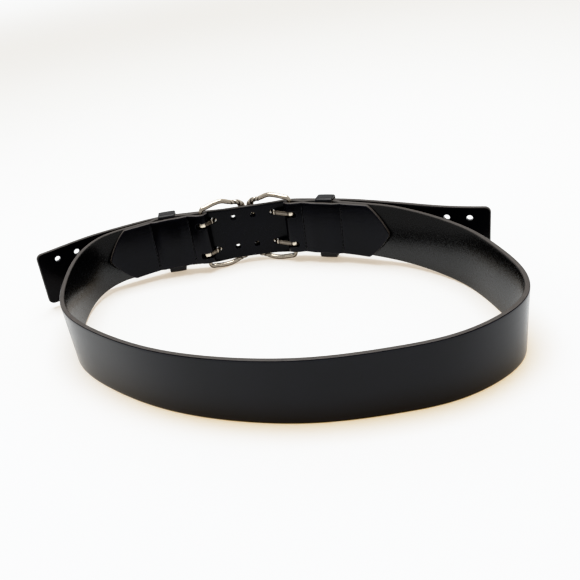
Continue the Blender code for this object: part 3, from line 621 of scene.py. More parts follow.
def leather_sheet(stations, shares, rows_at, holes, half, reach, turned_at=(-1.0, 9.0)):
    """Quads of a flat piece of leather with rounded edges and holes cut through.

    A face point is (station, middle there + share * half height there). Round a hole a block of the grid
    gives way to rings: inner + (border - inner) * weight. A hole may be tighter on the front face. The
    outline's edge and the holes' walls are the band profile carried along the outline and round the hole.
    """
    sheet = Patches()
    middle, tall = rows_at(stations)
    flat = joined(stations[:, None], middle[:, None] + shares * tall[:, None])
    rub = np.zeros(flat.shape[:2])
    rub[:, [0, -1]] = rub[[0, -1]] = 0.7
    marks = joined(rub, 0.0)
    keep = np.ones((len(stations) - 1, len(shares) - 1), bool)
    for i0, i1, j0, j1, *_ in holes:
        keep[i0:i1, j0:j1] = False

    def add_face(grid, marks, keep=None):
        along = (grid[:-1, :-1, 0] + grid[1:, 1:, 0]) / 2
        finish = np.where((along < turned_at[0]) | (along > turned_at[1]), TURNED, FRONT)
        sheet.add(raised(grid, half), grid, marks, finish, keep)

    def add_back(grid, marks, keep=None):
        grid, marks = grid.transpose(1, 0, 2), marks.transpose(1, 0, 2)
        sheet.add(raised(grid, -half), grid + BACK_SHIFT, marks, BACK, keep)

    add_face(flat, marks, keep)
    add_back(flat, marks, keep.T)

    weight = np.linspace(0, 1, 5)[:, None, None] ** 1.3
    for i0, i1, j0, j1, centre, height, length, radius, far in holes:
        border = np.concatenate((flat[i0:i1, j0], flat[i1, j0:j1], flat[i1:i0:-1, j1], flat[i0, j1:j0:-1]))
        border = np.vstack((border, border[:1]))
        axis = joined(np.clip(border[:, 0], centre - length, centre + length), height)
        way = unit(border - axis)
        worn = joined(np.array((1.0, 0.4, 0.0, 0.0, 0.0))[:, None], np.zeros(len(border)))
        for open_here, add in ((far, add_face), (radius, add_back)):
            inner = axis + way * (open_here + HOLE_RIM)
            rings = inner + (border - inner) * weight
            rings[-1] = border
            add(rings, worn)
        inward, depth = (part[::-1] for part in band_profile(HOLE_RIM, half, HOLE_RIM, HOLE_RIM, 0.0))
        wide = radius + (far - radius) * (depth + half) / (2 * half)
        wall = axis[:, None] + way[:, None] * (wide + HOLE_RIM - inward)[:, None]
        edge = joined(0.5, 1 - abs(depth) / half)
        sheet.add(raised(wall, depth), wall + depth[:, None], edge, FRONT)

    outline = np.concatenate((flat[:, 0], flat[-1, 1:], flat[-2::-1, -1], flat[0, -2:0:-1]))
    steps = unit(np.roll(outline, -1, axis=0) - np.roll(outline, 1, axis=0))
    normal = joined(steps[:, 1], -steps[:, 0])
    outline, normal = (np.vstack((a, a[:1])) for a in (outline, normal))
    out, depth = band_profile(reach, half, reach * 0.8, reach, EDGE_SWELL)
    skirt = outline[:, None] + normal[:, None] * out[:, None]
    edge = joined(np.where(depth > 0, 1.0, 0.3), 1 - abs(depth) / half)
    edge[0, 0] = edge[-1, 0] = 0.7
    pattern = joined(travelled(outline)[:, None], depth + 0.4)
    sheet.add(raised(skirt, depth), pattern, edge, [EDGE] * 8 + [FRONT] * 3)
    return sheet


def strap_sheet(layout):
    """The strap laid flat: pointed ends and four prong slots, with a finer grid along the seams."""
    width, reach, room, half_block = layout.end_width, layout.leather.rounding, 0.0018, 0.0046
    seam_room, seam_step, slot_step, plain_step, point_step = 0.0026, 0.0004, 0.00062, 0.0016, 0.0007
    line, folds, seams = layout.strap, layout.folds, layout.seams
    slots = (
        (folds[0] - SLOT_INSIDE, folds[1] + SLOT_OUTSIDE),
        (folds[2] - SLOT_OUTSIDE, folds[3] + SLOT_INSIDE),
    )
    fine = [((seam - seam_room, seam + seam_room), seam_step) for seam in seams]
    fine += [((start - room, finish + room), slot_step) for start, finish in slots]
    marks, steps = [reach, reach + RETURN_POINT], [point_step]
    for ends, step in sorted(fine):
        marks += ends
        steps += [plain_step, step]
    end = line.length - reach
    stations = spaced([*marks, end - RETURN_POINT, end], [*steps, plain_step, point_step])
    rows = [[layout.hole_height(side, level) - layout.lift for level in (-1, 1)] for side in SIDES]
    steps = {"outer": 0.0018, "beside": 0.00155, "between": 0.0026}
    levels = sheet_levels(width, reach, np.mean(rows, axis=0), half_block, **steps)
    shares = (levels - width / 2) / (width / 2 - reach)
    radius, holes = layout.metal.prong_width / 2 + SLOT_ROOM, []
    for (start, finish), heights in zip(slots, rows):
        ends, length = (start - room, finish + room), (finish - start) / 2 - radius
        for height in heights:
            holes.append(hole(stations, levels, ends, height, half_block, length, radius, radius))

    def rows_at(along):
        end = np.minimum(along, line.length - along) - reach
        share = np.clip(end / RETURN_POINT, 0, 1)
        middle = eased(layout.widths, np.interp(along, line.distances, layout.from_bar)) / 2
        curve = (1 - (1 - share) ** 1.22) ** 0.9
        return middle, POINT_BLUNT + (middle - reach - POINT_BLUNT) * curve

    turned_at = ((folds[0] + folds[1]) / 2, (folds[2] + folds[3]) / 2)
    return leather_sheet(stations, shares, rows_at, holes, layout.half, reach, turned_at)


def strap_bend(layout):
    """Return the strap's bend: each seam first sinks the front face by a bell curve across the seam."""

    def place(flat):
        along, height, depth = flat.T
        away = (along[:, None] - layout.seams) / SEAM_WIDTH
        dip = SEAM_DEPTH * np.exp(-(away**2)).max(axis=1) * np.clip(depth / layout.half, 0, 1) ** 2
        return layout.strap.bend(joined(along, height, depth - dip))

    return place


def tab_sheet(layout):
    """The tab laid flat: rounded corners and two rows of holes."""
    leather, length, half_block = layout.leather, layout.tab_length, 0.0048
    width, reach, radius = leather.tab_width, leather.rounding, leather.hole_radius
    middle, corner = width / 2, TAB_CORNER
    rows = [middle + ROW_RISE + level * layout.row_height for level in (-1, 1)]
    turn = np.radians(np.linspace(0, 90, 7))
    arc = corner - (corner - reach) * np.cos(turn)
    centres = layout.hole_along(np.arange(HOLE_COLUMNS))
    marks = [corner, *joined(centres - half_block, centres + half_block).ravel(), length - corner]
    first_step, last_step, block_step, plain_step = 0.0018, 0.0022, 0.0012, 0.0028
    steps = [first_step, *[block_step, plain_step] * (HOLE_COLUMNS - 1), block_step, last_step]
    stations = np.concatenate((arc[:-1], spaced(marks, steps), length - arc[-2::-1]))
    levels = sheet_levels(width, reach, rows, half_block, outer=0.0022, beside=block_step, between=0.0026)
    shares = (levels - middle) / (middle - reach)
    holes = []
    for column, centre in enumerate(centres):
        ends = centre - half_block, centre + half_block
        far = TIGHT_HOLE if column in TIGHT_COLUMNS else radius
        holes += [hole(stations, levels, ends, height, half_block, 0.0, radius, far) for height in rows]

    def rows_at(along):
        end = np.minimum(np.minimum(along, length - along), corner)
        rise = np.sqrt(np.maximum(0, (corner - reach) ** 2 - (corner - end) ** 2))
        return np.full(len(along), middle), middle - corner + rise

    return leather_sheet(stations, shares, rows_at, holes, layout.half, reach)


def tab_bend(layout):
    """Return the tab's bend: the upper edge leans out by the lean's rows on the way to each end."""

    def place(flat):
        along, height, depth = flat.T
        above = height - layout.tab_half
        depth = depth + above * eased(layout.lean, along)
        return layout.tab.bend(joined(along, layout.tab_middle + layout.drawn_in(along, above), depth))

    return place


def stitch_rows(layout):
    """Thread of every seam: each stitch is a tube whose radius closes at both ends and whose ends dive in."""
    leather, rows = layout.leather, Patches()
    pitch = (layout.end_width - 2 * SEAM_MARGIN) / leather.stitches
    share = np.linspace(0, 1, 10)[:, None]
    turn = round_turn(9)
    side = 2 * share - 1
    radius = leather.thread_radius * np.sqrt(np.clip(1 - side**8, 0, 1))
    depth = layout.half - THREAD_SINK - THREAD_DIVE * side**4
    slant = THREAD_SLANT * side
    for seam in layout.seams:
        for start in SEAM_MARGIN + pitch * np.arange(leather.stitches):
            height = start + pitch * (0.5 + THREAD_SHARE * (share - 0.5))
            points = joined(seam + slant + radius * np.cos(turn), height, depth + radius * np.sin(turn))
            rows.add(points, joined(height, turn * leather.thread_radius), (0.0, 0.0))
    return rows


def rounded_box(wide, tall, radius, corner_steps, side_steps):
    """Closed path round a box with round corners: the corner's centre plus radius times the direction."""
    centres, angles = [], []
    corners = np.array(((1, 1), (-1, 1), (-1, -1), (1, -1))) * (wide / 2 - radius, tall / 2 - radius)
    for i, (here, there) in enumerate(zip(corners, np.roll(corners, -1, axis=0))):
        steps = side_steps[i % 2]
        share = np.linspace(0, 1, steps, endpoint=False)[:, None]
        turn = np.linspace(90 * i, 90 * (i + 1), corner_steps, endpoint=False)
        centres += [np.repeat(here[None], corner_steps, axis=0), here + (there - here) * share]
        angles += [turn, np.full(steps, 90.0 * (i + 1))]
    centres = np.vstack((*centres, corners[:1]))
    angles = np.radians(np.append(np.concatenate(angles), 0.0))
    normal = joined(np.cos(angles), np.sin(angles))
    return centres + radius * normal, normal


def keeper_loop(side, layout):
    """A keeper: a crowned strip section carried round a box with round corners."""
    loop, thick = layout.loop, layout.leather.keeper_thickness
    centre = KEEPER_CENTRE if side == "left" else loop.length - KEEPER_CENTRE
    low = thick / 2
    high = layout.tab_over_keeper + layout.half + GAP + KEEPER_ROOM
    near, far = eased(layout.climb, KEEPER_CENTRE + np.array((-0.5, 0.5)) * KEEPER_WIDTH)
    top = max(layout.tab_middle + layout.tab_half, near + layout.end_width) + GAP
    bottom = min(layout.tab_middle - layout.tab_half, far) - GAP
    path, normal = rounded_box(high - low + thick, top - bottom + thick, KEEPER_BEND + thick / 2, 8, (6, 24))
    section, facing = rounded_box(thick, KEEPER_WIDTH, KEEPER_BEVEL, 4, (2, 12))
    forward = section[:, 1]
    crown = KEEPER_CROWN * (1 - (2 * forward / KEEPER_WIDTH) ** 2)
    grow = section[:, 0] + np.where(section[:, 0] > 0, crown, 0.0)
    out = (high + low) / 2 + path[:, :1] + normal[:, :1] * grow
    height = (top + bottom) / 2 + path[:, 1:] + normal[:, 1:] * grow
    middle = (facing[:-1, 0] + facing[1:, 0]) / 2
    finishes = np.where(middle > 0.25, FRONT, np.where(middle < -0.8, BACK, EDGE))
    rub = np.clip(1 - abs(abs(facing[:, 0]) - 0.7) / 0.3, 0, 1)
    band = np.clip(1 - abs(section[:, 0]) / (thick / 2), 0, 1)
    strip = Patches()
    pattern = joined(travelled(path)[:, None], forward + section[:, 0])
    strip.add(raised(loop.at(centre, out, forward), height), pattern, joined(rub, band), finishes)
    return strip


def frame_half(layout, front_drop):
    """Half of a frame's line, as rows of distance ahead, height, radius and share of twist.

    It runs up the heel bar, round the heel corner, along the rail, which bows by a power of half a sine
    wave, round the front corner and down the front bar.
    """
    metal, top, corner, front = layout.metal, layout.rail_height, HEEL_CORNER, FRONT_CORNER
    wire, rail, bar, length = metal.wire_radius, metal.rail_radius, metal.bar_radius, metal.frame_length
    end = top - front_drop - front
    up = np.linspace(0, top - corner, 20, endpoint=False)
    heel, share, nose = (np.linspace(0, 1, count, endpoint=False) for count in (12, 70, 40))
    turn, bend = np.radians(180 - 90 * heel), np.radians(90 - 90 * nose)
    bow = RAIL_BOW * np.sin(np.pi * share) ** RAIL_BOW_POWER
    bow = top + bow - eased(((DROP_START, 0.0), (1.0, front_drop)), share)
    twist = np.clip((share - TWIST_START) / (1 - TWIST_START), 0, 1) ** 0.5
    thicker, thickest = eased(((0, wire), (1, rail)), heel), eased(((0, rail), (1, bar)), nose)
    rows = (
        (0.0, up, wire, 0.0),
        (corner + corner * np.cos(turn), top - corner + corner * np.sin(turn), thicker, 0.0),
        (corner + (length - corner - front) * share, bow, rail, twist),
        (length - front + front * np.cos(bend), end + front * np.sin(bend), thickest, 1.0),
        (length, np.linspace(end, 0, 81), bar, 1.0),
    )
    return np.concatenate([joined(*row) for row in rows]).T


def frame_wire(side, layout):
    """A frame: a ring carried round the line of both halves, with a twisted groove in the thick bar.

    The ring's radius is r - depth * groove, where groove is 1 - |sin(pi * (turns + along / spacing))| ^ 0.6.
    The marks are the groove and a painted shade that darkens the wire where it faces down, and partly all
    round the upright bars.
    """
    metal = layout.metal
    upper, lower = (frame_half(layout, drop) for drop in (UPPER_DROP, LOWER_DROP))
    lower = lower[:, -2::-1] * np.array((1, -1, 1, 1))[:, None]
    ahead, height, radius, twist = np.concatenate((upper, lower), axis=1)
    along = travelled(joined(ahead, height))
    da, dh = np.gradient(ahead), np.gradient(height)
    da[[0, -1]] = (da[0] + da[-1]) / 2
    dh[[0, -1]] = (dh[0] + dh[-1]) / 2
    right, up = ((part / np.hypot(da, dh))[:, None] for part in (-dh, da))
    turn = round_turn(33)
    phase = TWIST_TURNS * turn / (2 * np.pi) + along[:, None] / metal.twist_spacing
    groove = (1 - abs(np.sin(np.pi * phase)) ** 0.6) * twist[:, None]
    ring = radius[:, None] - metal.twist_depth * groove * (radius[:, None] / metal.bar_radius)
    across, out = ring * np.cos(turn), ring * np.sin(turn)
    points = layout.buckles[side].world(ahead[:, None] + right * across, out, height[:, None] + up * across)
    # Painted shade: darkens the wire where it faces down, and partly all round the upright bars
    under = np.clip((0.50 - up * np.cos(turn)) / 0.85, 0, 1)
    wire = Patches()
    wire.add(points, joined(along[:, None], turn * metal.wire_radius), joined(groove, under))
    return wire


def rounded_corners(corners, radius, steps):
    """Straight runs whose corners are parabolas: start, corner and end blended by (1-t)^2, 2t(1-t), t^2."""
    corners = np.asarray(corners, float)
    share = np.linspace(0, 1, steps + 1)[:, None]
    parts = [corners[:1]]
    for before, corner, after in zip(corners, corners[1:], corners[2:]):
        into, out = before - corner, after - corner
        into_size, out_size = np.linalg.norm(into), np.linalg.norm(out)
        into, out = into / into_size, out / out_size
        half = np.arccos(np.clip(into @ out, -1, 1)) / 2
        cut = min(radius / np.tan(half), into_size * 0.45, out_size * 0.45)
        start, end = corner + into * cut, corner + out * cut
        parts.append(start * (1 - share) ** 2 + corner * 2 * share * (1 - share) + end * share**2)
    return np.vstack((*parts, corners[-1:]))


def prong_path(side, layout):
    """Line of a prong: round the heel bar, through its hole in the tab and over the front bar.

    Also returns how far along it the wrap and the straight shank end.
    """
    buckle, metal, place = layout.buckles[side], layout.metal, layout.hole_along(PRONG_COLUMN[side])
    thick, length = metal.prong_thickness, metal.frame_length
    middle = buckle.local(layout.tab.at(place))
    run = buckle.local(layout.tab.at(place, ahead=1.0)) - middle
    run = run if run[0] > 0 else -run
    lean = np.radians(PRONG_LEAN)
    steep = np.arctan2(run[1], run[0]) + lean
    reach = (layout.half + GAP + thick / 2) / np.sin(lean) * 1.02
    rise = reach * np.array((np.cos(steep), np.sin(steep)))
    entry, leave = middle - rise, middle + rise
    wrap = metal.wire_radius + GAP + thick / 2
    start = np.arctan2(entry[1], entry[0]) - np.arccos(wrap / np.linalg.norm(entry))
    angle = start - np.radians(PRONG_WRAP) * (1 - np.linspace(0, 1, 40))
    around = wrap * joined(np.cos(angle), np.sin(angle))
    rest = metal.bar_radius + GAP + thick / 2
    corners = (around[-1], entry, leave, (length, rest), (length + PRONG_REACH, rest - PRONG_DROP))
    line = PlanLine(np.vstack((around, rounded_corners(corners, PRONG_CORNER, 8)[1:])))
    wrapped = line.distances[len(around) - 1]
    return line, wrapped, wrapped + np.linalg.norm(entry - around[-1])


def prong_plate(side, level, layout):
    """A prong: a rounded plate section carried along its line, closed at both ends.

    The section is a superellipse. Fine flutes run along its flat faces between the bar and the hole, and
    a bell-shaped crease goes round it at both ends of the flutes.
    """
    buckle, metal = layout.buckles[side], layout.metal
    line, start, end = prong_path(side, layout)
    along = np.linspace(0, line.length, int(line.length / 0.0003))[:, None]
    ahead, out, ta, to, _ = line.read(along)
    turn = round_turn(49)
    thick, wide = (
        extent / 2 * PRONG_SLIM * np.sign(wave) * abs(wave) ** 0.55
        for extent, wave in ((metal.prong_thickness, np.cos(turn)), (metal.prong_width, np.sin(turn)))
    )
    ends = along / PRONG_ENDS[0], (line.length - along) / PRONG_ENDS[1]
    close = np.sqrt(1 - (1 - np.clip(np.minimum(*ends), 0, 1)) ** 2)
    first, last = ((away / FLUTE_FADE).clip(0, 1) for away in (along - start - 0.0002, end - 0.0012 - along))
    waves = np.cos(FLUTE_WAVES * np.pi * wide / metal.prong_width)
    flute = first * last * (1 - waves) / 2 * abs(np.cos(turn)) ** 0.5
    creases = start + CREASE_PLACES[0], end + CREASE_PLACES[1]
    crease = sum(np.exp(-(((along - place) / CREASE_WIDTH) ** 2)) for place in creases)
    thick = thick * (1 - FLUTE_DEPTH * flute - CREASE_DEPTH * crease)
    wide = wide * (1 - CREASE_NARROWS * crease)
    height = layout.hole_height(side, 1 if level == "upper" else -1) - buckle.middle
    points = buckle.world(ahead - to * thick * close, out + ta * thick * close, height + wide * close)
    plate = Patches()
    marks = joined(np.maximum(0.8 * flute, crease), 0.55 * first * last)
    plate.add(points, joined(along, wide + thick), marks)
    return plate


class Value:
    """A number, colour or vector over a surface, kept as a node socket and written with + - *."""

    def __init__(self, finish, socket):
        self.finish = finish
        self.socket = socket

    def maths(self, operation, first, second):
        return self.finish.node("ShaderNodeMath", {"operation": operation}, {0: first, 1: second})

    def __add__(self, other):
        return self.maths("ADD", self, other)

    def __radd__(self, other):
        return self.maths("ADD", other, self)

    def __sub__(self, other):
        return self.maths("SUBTRACT", self, other)

    def __rsub__(self, other):
        return self.maths("SUBTRACT", other, self)

    def __mul__(self, other):
        return self.maths("MULTIPLY", self, other)

    def __rmul__(self, other):
        return self.maths("MULTIPLY", other, self)


class Finish:
    """A material built from a Principled shader, with constants set on its sockets."""

    def __init__(self, name, **constants):
        self.material = bpy.data.materials.new(name)
        self.material.use_nodes = True
        self.nodes = self.material.node_tree.nodes
        self.links = self.material.node_tree.links
        self.shader = self.nodes["Principled BSDF"]
        for socket, value in constants.items():
            self.set(self.shader.inputs[socket.replace("_", " ")], value)

    def set(self, socket, value):
        """Link a value to a socket, or set a number or colour on it."""
        if isinstance(value, Value):
            self.links.new(value.socket, socket)
        elif socket.type == "RGBA":
            socket.default_value = (*value, 1.0)
        else:
            socket.default_value = value

    def node(self, kind, settings=None, sockets=None, output=0):
        """Add a node: its settings first, then its sockets' values or links. Returns one output."""
        node = self.nodes.new(kind)
        for name, value in (settings or {}).items():
            setattr(node, name, value)
        for name, value in (sockets or {}).items():
            self.set(node.inputs[name], value)
        return Value(self, node.outputs[output])

    @cached_property
    def place(self):
        """Object coordinates."""
        return self.node("ShaderNodeTexCoord", output="Object")

    def along(self, axis):
        """One of the three object coordinates."""
        return self.node("ShaderNodeSeparateXYZ", {}, {0: self.place}, axis)

    def cupped(self, slope):
        """Relief of a wall whose slope grows from the floor up and reaches this much at LEAN_TOP."""
        upright = self.along("Z")
        return (slope / (2 * LEAN_TOP * RELIEF)) * upright * upright

    def mark(self, name):
        """One of the piece's own marks."""
        return self.node("ShaderNodeAttribute", {"attribute_name": name}, output="Fac")

    def noise(self, scale, detail=3.0, roughness=0.55, where=None):
        """Soft noise from 0 to 1."""
        sockets = {"Vector": where or self.place, "Scale": scale, "Detail": detail, "Roughness": roughness}
        return self.node("ShaderNodeTexNoise", {}, sockets)

    def streaks(self, along, across, detail=3.0, roughness=0.55):
        """Soft noise on the piece's own flat pattern, with its own scale along and across."""
        sockets = {0: self.node("ShaderNodeUVMap", {"uv_map": "Flat"}), 1: (along, across, 1.0)}
        pattern = self.node("ShaderNodeVectorMath", {"operation": "MULTIPLY"}, sockets)
        return self.noise(1.0, detail, roughness, pattern)

    def cells(self, scale):
        """Distance to the middle of the nearest cell."""
        sockets = {"Vector": self.place, "Scale": scale, "Smoothness": 0.6}
        return self.node("ShaderNodeTexVoronoi", {"feature": "SMOOTH_F1"}, sockets)

    def between(self, value, low, high, start=0.0, end=1.0):
        """Carry a value between low and high smoothly to between start and end."""
        sockets = {"Value": value, "From Min": low, "From Max": high, "To Min": start, "To Max": end}
        return self.node("ShaderNodeMapRange", {"interpolation_type": "SMOOTHSTEP"}, sockets)

    def blend(self, share, first, second):
        """Mix two colours by a share."""
        return self.node("ShaderNodeMix", {"data_type": "RGBA"}, {0: share, 6: first, 7: second}, 2)

    def shaded(self, value, low, high, colour, dark, pale):
        """A colour's darker tint where a value is low, going over to its paler tint where it is high."""
        return self.blend(self.between(value, low, high), tint(colour, dark), tint(colour, pale))

    def surface(self, colour, roughness, height=None, distance=RELIEF, metallic=None, glow=None):
        """Link what changes over the surface to the shader. Height goes through a bump."""
        links = {"Base Color": colour, "Roughness": roughness, "Metallic": metallic, "Emission Color": glow}
        for socket, value in links.items():
            if value is not None:
                self.set(self.shader.inputs[socket], value)
        if height is not None:
            bump = self.node("ShaderNodeBump", {}, {"Height": height, "Distance": distance, "Strength": 1.0})
            self.set(self.shader.inputs["Normal"], bump)
        return self.material


def tint(colour, amount):
    """A colour made brighter or darker."""
    return tuple(min(1.0, part * amount) for part in colour)


def grain_leather(name, colour, roughness, specular, lean):
    """Smooth black leather: fine pebbles, faint creases and paler rubbed rims. It leans by a slope."""
    finish = Finish(name, Specular_IOR_Level=specular)
    pebbles = finish.cells(1050.0)
    pores = finish.noise(2600.0, 2.0)
    clouds = finish.noise(34.0, 4.0)
    creases = finish.streaks(38.0, 260.0, 5.0, 0.6)
    rub = finish.mark("rub")
    worn = rub * finish.between(finish.noise(420.0, 3.0), 0.35, 0.7)
    shade = finish.shaded(clouds, 0.3, 0.7, colour, 0.8, 1.25)
    shade = finish.blend(worn * 0.35, shade, tint(colour, 4.0))
    gloss = roughness - 0.04 + finish.between(clouds, 0.3, 0.7, 0.0, 0.07) + 0.05 * pores
    relief = 0.55 * pebbles + 0.25 * pores + 0.8 * creases + finish.cupped(lean)
    return finish.surface(shade, gloss, relief)


def flesh_leather(name, colour, lean):
    """Rough inner side of the leather: a short nap with pale fibre ends. It leans by a slope."""
    finish = Finish(name, Specular_IOR_Level=0.52)
    nap = finish.noise(1500.0, 5.0, 0.7)
    tufts = finish.noise(480.0, 4.0, 0.6)
    clouds = finish.noise(40.0, 3.0)
    shade = finish.shaded(nap, 0.45, 0.72, colour, 0.75, 3.2)
    shade = finish.blend(0.4 * finish.between(clouds, 0.35, 0.7), shade, tint(colour, 1.6))
    gloss = finish.between(tufts, 0.3, 0.7, 0.20, 0.30)
    calm = finish.between(finish.along("X"), *CALM_RUN, CALM_SHARE, 1.0)
    return finish.surface(shade, gloss, 0.8 * nap + 0.7 * tufts + calm * finish.cupped(lean))


def cut_edge(name, colour):
    """Cut edge of the leather: fibre streaks along it, burnished dark towards both faces."""
    finish = Finish(name, Specular_IOR_Level=0.4)
    streaks = finish.streaks(160.0, 2600.0, 4.0, 0.6)
    fibres = finish.noise(1700.0, 4.0, 0.65)
    patches = finish.noise(60.0, 3.0)
    mixed = 0.6 * streaks + 0.4 * fibres
    shade = finish.shaded(mixed, 0.32, 0.68, colour, 0.45, 1.5)
    shade = finish.blend(finish.between(patches, 0.35, 0.7, 0.0, 0.35), shade, tint(colour, 0.7))
    burnt = finish.between(finish.mark("band"), 0.10, 0.34, 1.0, 0.0)
    shade = finish.blend(burnt * 0.85, shade, tint(colour, 0.12))
    return finish.surface(shade, finish.between(fibres, 0.3, 0.7, 0.5, 0.7), mixed, 0.00016)


def waxed_thread(name, colour):
    """Twisted waxed thread."""
    finish = Finish(name, Specular_IOR_Level=0.45)
    twist = finish.streaks(900.0, 2200.0, 2.0)
    shade = finish.blend(twist, tint(colour, 0.7), tint(colour, 2.6))
    return finish.surface(shade, 0.38 + 0.2 * twist, twist, 0.00012)


def nickel(name, colour):
    """Worn nickel plate: brushed and lightly pitted, dark in its grooves, with painted shade where the frames
    face down and a darker prong shank.
    """
    finish = Finish(name)
    brushed = finish.streaks(260.0, 5200.0)
    pits = finish.noise(900.0, 4.0, 0.6)
    clouds = finish.noise(110.0, 3.0)
    groove = finish.between(finish.mark("rub") + 0.25 * (pits - 0.5), 0.10, 0.42)
    shade = finish.shaded(clouds, 0.3, 0.7, colour, 0.86, 1.12)
    # The second mark: painted shade where the frames face down; on the prongs it darkens the fluted shank
    shade = finish.blend(finish.mark("band") * 0.95, shade, (0.050, 0.030, 0.018))
    shade = finish.blend(groove * 0.96, shade, (0.022, 0.014, 0.011))
    gloss = finish.between(clouds, 0.3, 0.7, 0.16, 0.26) + 0.08 * brushed + 0.3 * groove
    return finish.surface(shade, gloss, 0.5 * brushed + 0.7 * pits, metallic=1.0 - 0.55 * groove)


def leather_finishes(leather, name, roughness, specular, lean=0.0):
    """Front, back, edge and turned-back materials of a piece. Only a leaning piece is rough behind."""
    front = grain_leather(name + "_grain", leather.colour, roughness, specular, lean)
    turned = grain_leather(name + "_turned", leather.colour, roughness + 0.06, specular * 0.82, -lean)
    back = flesh_leather(name + "_flesh", leather.flesh_colour, -FLESH_CUP * lean) if lean else turned
    return front, back, cut_edge(name + "_edge", leather.edge_colour), turned


class BELT_OT_strap(bpy.types.Operator):
    """Build the long strap with both ends turned back round the heel bars"""

    bl_idname = "belt.strap"
    bl_label = "Strap"

    def execute(self, context):
        layout = Layout(context.scene)
        materials = leather_finishes(layout.leather, "strap", 0.15, 0.25, WALL_LEAN)
        piece = strap_sheet(layout).build("strap", materials, strap_bend(layout))
        ride_along(piece, "main_strap")
        return {"FINISHED"}


class BELT_OT_tab(bpy.types.Operator):
    """Build the holed tab that joins the two buckles"""

    bl_idname = "belt.tab"
    bl_label = "Tab"

    def execute(self, context):
        layout = Layout(context.scene)
        materials = leather_finishes(layout.leather, "tab", 0.20, 0.22)
        piece = tab_sheet(layout).build("tab", materials, tab_bend(layout))
        ride_along(piece, "centre_tab")
        return {"FINISHED"}


class BELT_OT_stitches(bpy.types.Operator):
    """Sew the turned-back ends"""

    bl_idname = "belt.stitches"
    bl_label = "Stitches"

    def execute(self, context):
        layout = Layout(context.scene)
        thread = waxed_thread("waxed_thread", layout.leather.thread_colour)
        ride_along(stitch_rows(layout).build("stitches", [thread], layout.strap.bend))
        return {"FINISHED"}


class BELT_OT_keepers(bpy.types.Operator):
    """Build the two keeper loops"""

    bl_idname = "belt.keepers"
    bl_label = "Keepers"

    def execute(self, context):
        layout = Layout(context.scene)
        materials = leather_finishes(layout.leather, "keeper", 0.32, 0.30)
        for side in SIDES:
            piece = keeper_loop(side, layout).build(side + "_keeper", materials)
            ride_along(piece, "keeper_" + side)
        return {"FINISHED"}


class BELT_OT_buckles(bpy.types.Operator):
    """Build the two buckle frames"""

    bl_idname = "belt.buckles"
    bl_label = "Buckle frames"

    def execute(self, context):
        layout = Layout(context.scene)
        material = nickel("frame_nickel", layout.metal.colour)
        for side in SIDES:
            piece = frame_wire(side, layout).build(side + "_frame", [material])
            ride_along(piece, "buckle_frame_" + side)
        return {"FINISHED"}


class BELT_OT_prongs(bpy.types.Operator):
    """Build the four prongs"""

    bl_idname = "belt.prongs"
    bl_label = "Prongs"

    def execute(self, context):
        layout = Layout(context.scene)
        material = nickel("prong_nickel", layout.metal.colour)
        for side in SIDES:
            for level in ("upper", "lower"):
                piece = prong_plate(side, level, layout).build(side + "_" + level + "_prong", [material])
                ride_along(piece, "prong_" + side + "_" + level)
        return {"FINISHED"}


def build_floor(stage):
    """The pale floor: a disc whose rings widen outwards, with painted light: an emission glow that paints its
    shadows warm.
    """
    turn = round_turn(97)
    radius = FLOOR_RADIUS * np.linspace(0, 1, 41)[:, None] ** 2
    points = joined(radius * np.cos(turn), radius * np.sin(turn), 0.0)
    disc = Patches()
    disc.add(points, points[..., :2], (0.0, 0.0))
    # The emission is painted light: the floor glows, warm near the belt where its shadows fall and near white
    # far away
    paper = Finish("pale_floor", Specular_IOR_Level=0.1, Emission_Strength=1.0)
    specks = paper.noise(9.0)
    behind = paper.between(paper.along("Y"), *PAINTED_GLOW_TURN)
    away = paper.node("ShaderNodeVectorMath", {"operation": "LENGTH"}, {0: paper.place}, "Value")
    around = paper.between(away, *PAINTED_GLOW_REACH)
    glow = paper.blend(around, paper.blend(behind, stage.floor_painted_glow, PAINTED_GLOW_BEHIND), PAINTED_GLOW_ROUND)
    glow = paper.blend(paper.between(away, *PAINTED_GLOW_LIMIT), glow, PAINTED_GLOW_FAR)
    front = paper.blend(specks, tint(stage.floor_colour, 0.995), tint(stage.floor_colour, 1.005))
    shade = paper.blend(around, paper.blend(behind, front, FLOOR_BEHIND), FLOOR_BEHIND)
    paper.surface(shade, paper.between(specks, 0.3, 0.7, 0.80, 0.86), glow=glow)
    disc.build("floor", [paper.material])


def light_scene(scene, stage):
    """Daylight all round, a wide panel overhead and a faint one at the back."""
    world = scene.world or bpy.data.worlds.new("world")
    scene.world = world
    world.use_nodes = True
    sky = world.node_tree.nodes["Background"]
    sky.inputs["Color"].default_value = (1.0, 0.995, 0.985, 1.0)
    sky.inputs["Strength"].default_value = stage.daylight
    for name, energy, wide, deep, place in (
        ("overhead_panel", stage.overhead, 1.8, 1.2, (0.0, 0.20, 1.9)),
        ("backdrop_panel", stage.backdrop, 5.0, 1.6, (-0.6, 3.0, 1.9)),
    ):
        panel = bpy.data.lights.new(name, "AREA")
        panel.shape = "RECTANGLE"
        panel.size, panel.size_y = wide, deep
        panel.energy = energy
        panel.color = (1.0, 0.99, 0.97)
        linked(name, panel).location = place


def place_camera(scene, stage):
    """Camera at the fitted place: pitched down, then rolled about its own line of sight."""
    camera = bpy.data.cameras.new("camera")
    camera.sensor_fit = "HORIZONTAL"
    camera.sensor_width = 36.0
    camera.lens = stage.lens
    camera.shift_x, camera.shift_y = CAMERA_SHIFT
    camera.clip_start = 0.01
    level = Matrix.Rotation(np.pi / 2 - CAMERA_PITCH, 4, "X")
    pose = Matrix.Translation(CAMERA_PLACE) @ level @ Matrix.Rotation(-CAMERA_ROLL, 4, "Z")
    scene.camera = linked("camera", camera)
    scene.camera.matrix_world = pose


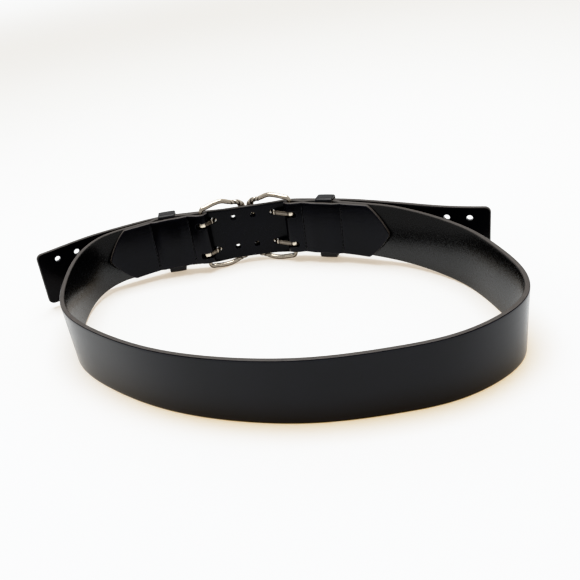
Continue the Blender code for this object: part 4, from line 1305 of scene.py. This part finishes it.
def set_tone(view):
    """The camera's tone curve: deep blacks, and a soft end for the brightest light."""
    view.view_transform = "Standard"
    view.look = "None"
    view.use_curve_mapping = True
    tone = view.curve_mapping
    tone.white_level = (TONE_WHITE,) * 3
    curve = tone.curves[3]
    for light, shown in TONE_POINTS:
        curve.points.new(light / TONE_WHITE, shown)
    curve.points[-1].location = (1.0, 1.0)
    tone.update()


class BELT_OT_stage(bpy.types.Operator):
    """Set out the pale floor, the lights and the camera"""

    bl_idname = "belt.stage"
    bl_label = "Stage"

    def execute(self, context):
        scene, stage = context.scene, context.scene.belt_stage
        build_floor(stage)
        light_scene(scene, stage)
        place_camera(scene, stage)
        set_tone(scene.view_settings)
        return {"FINISHED"}


SETTINGS = {"belt_leather": BeltLeather, "belt_metal": BeltMetal, "belt_stage": BeltStage}
OPERATORS = (
    BELT_OT_strap,
    BELT_OT_tab,
    BELT_OT_stitches,
    BELT_OT_keepers,
    BELT_OT_buckles,
    BELT_OT_prongs,
    BELT_OT_stage,
)


class BELT_PT_pieces(bpy.types.Panel):
    """Sizes, colours and pieces of the belt"""

    bl_label = "Double buckle belt"
    bl_space_type = "VIEW_3D"
    bl_region_type = "UI"
    bl_category = "Belt"

    def draw(self, context):
        for title in SETTINGS:
            group, box = getattr(context.scene, title), self.layout.box()
            for name in group.bl_rna.properties.keys():
                if name not in ("rna_type", "name"):
                    box.prop(group, name)
        for operator in OPERATORS:
            self.layout.operator(operator.bl_idname)


CLASSES = (*SETTINGS.values(), *OPERATORS, BELT_PT_pieces)


def register():
    """Register the classes and put the belt's settings on the scene."""
    for each in CLASSES:
        bpy.utils.register_class(each)
    for title, kind in SETTINGS.items():
        setattr(bpy.types.Scene, title, PointerProperty(type=kind))


def unregister():
    """Take the settings off the scene and unregister the classes."""
    for title in SETTINGS:
        delattr(bpy.types.Scene, title)
    for each in reversed(CLASSES):
        bpy.utils.unregister_class(each)


def main():
    """Build every piece in order."""
    register()
    belt = bpy.ops.belt
    for build in (belt.strap, belt.tab, belt.stitches, belt.keepers, belt.buckles, belt.prongs, belt.stage):
        if build() != {"FINISHED"}:
            raise RuntimeError("a piece of the belt wasn't built")


if __name__ == "__main__":
    main()
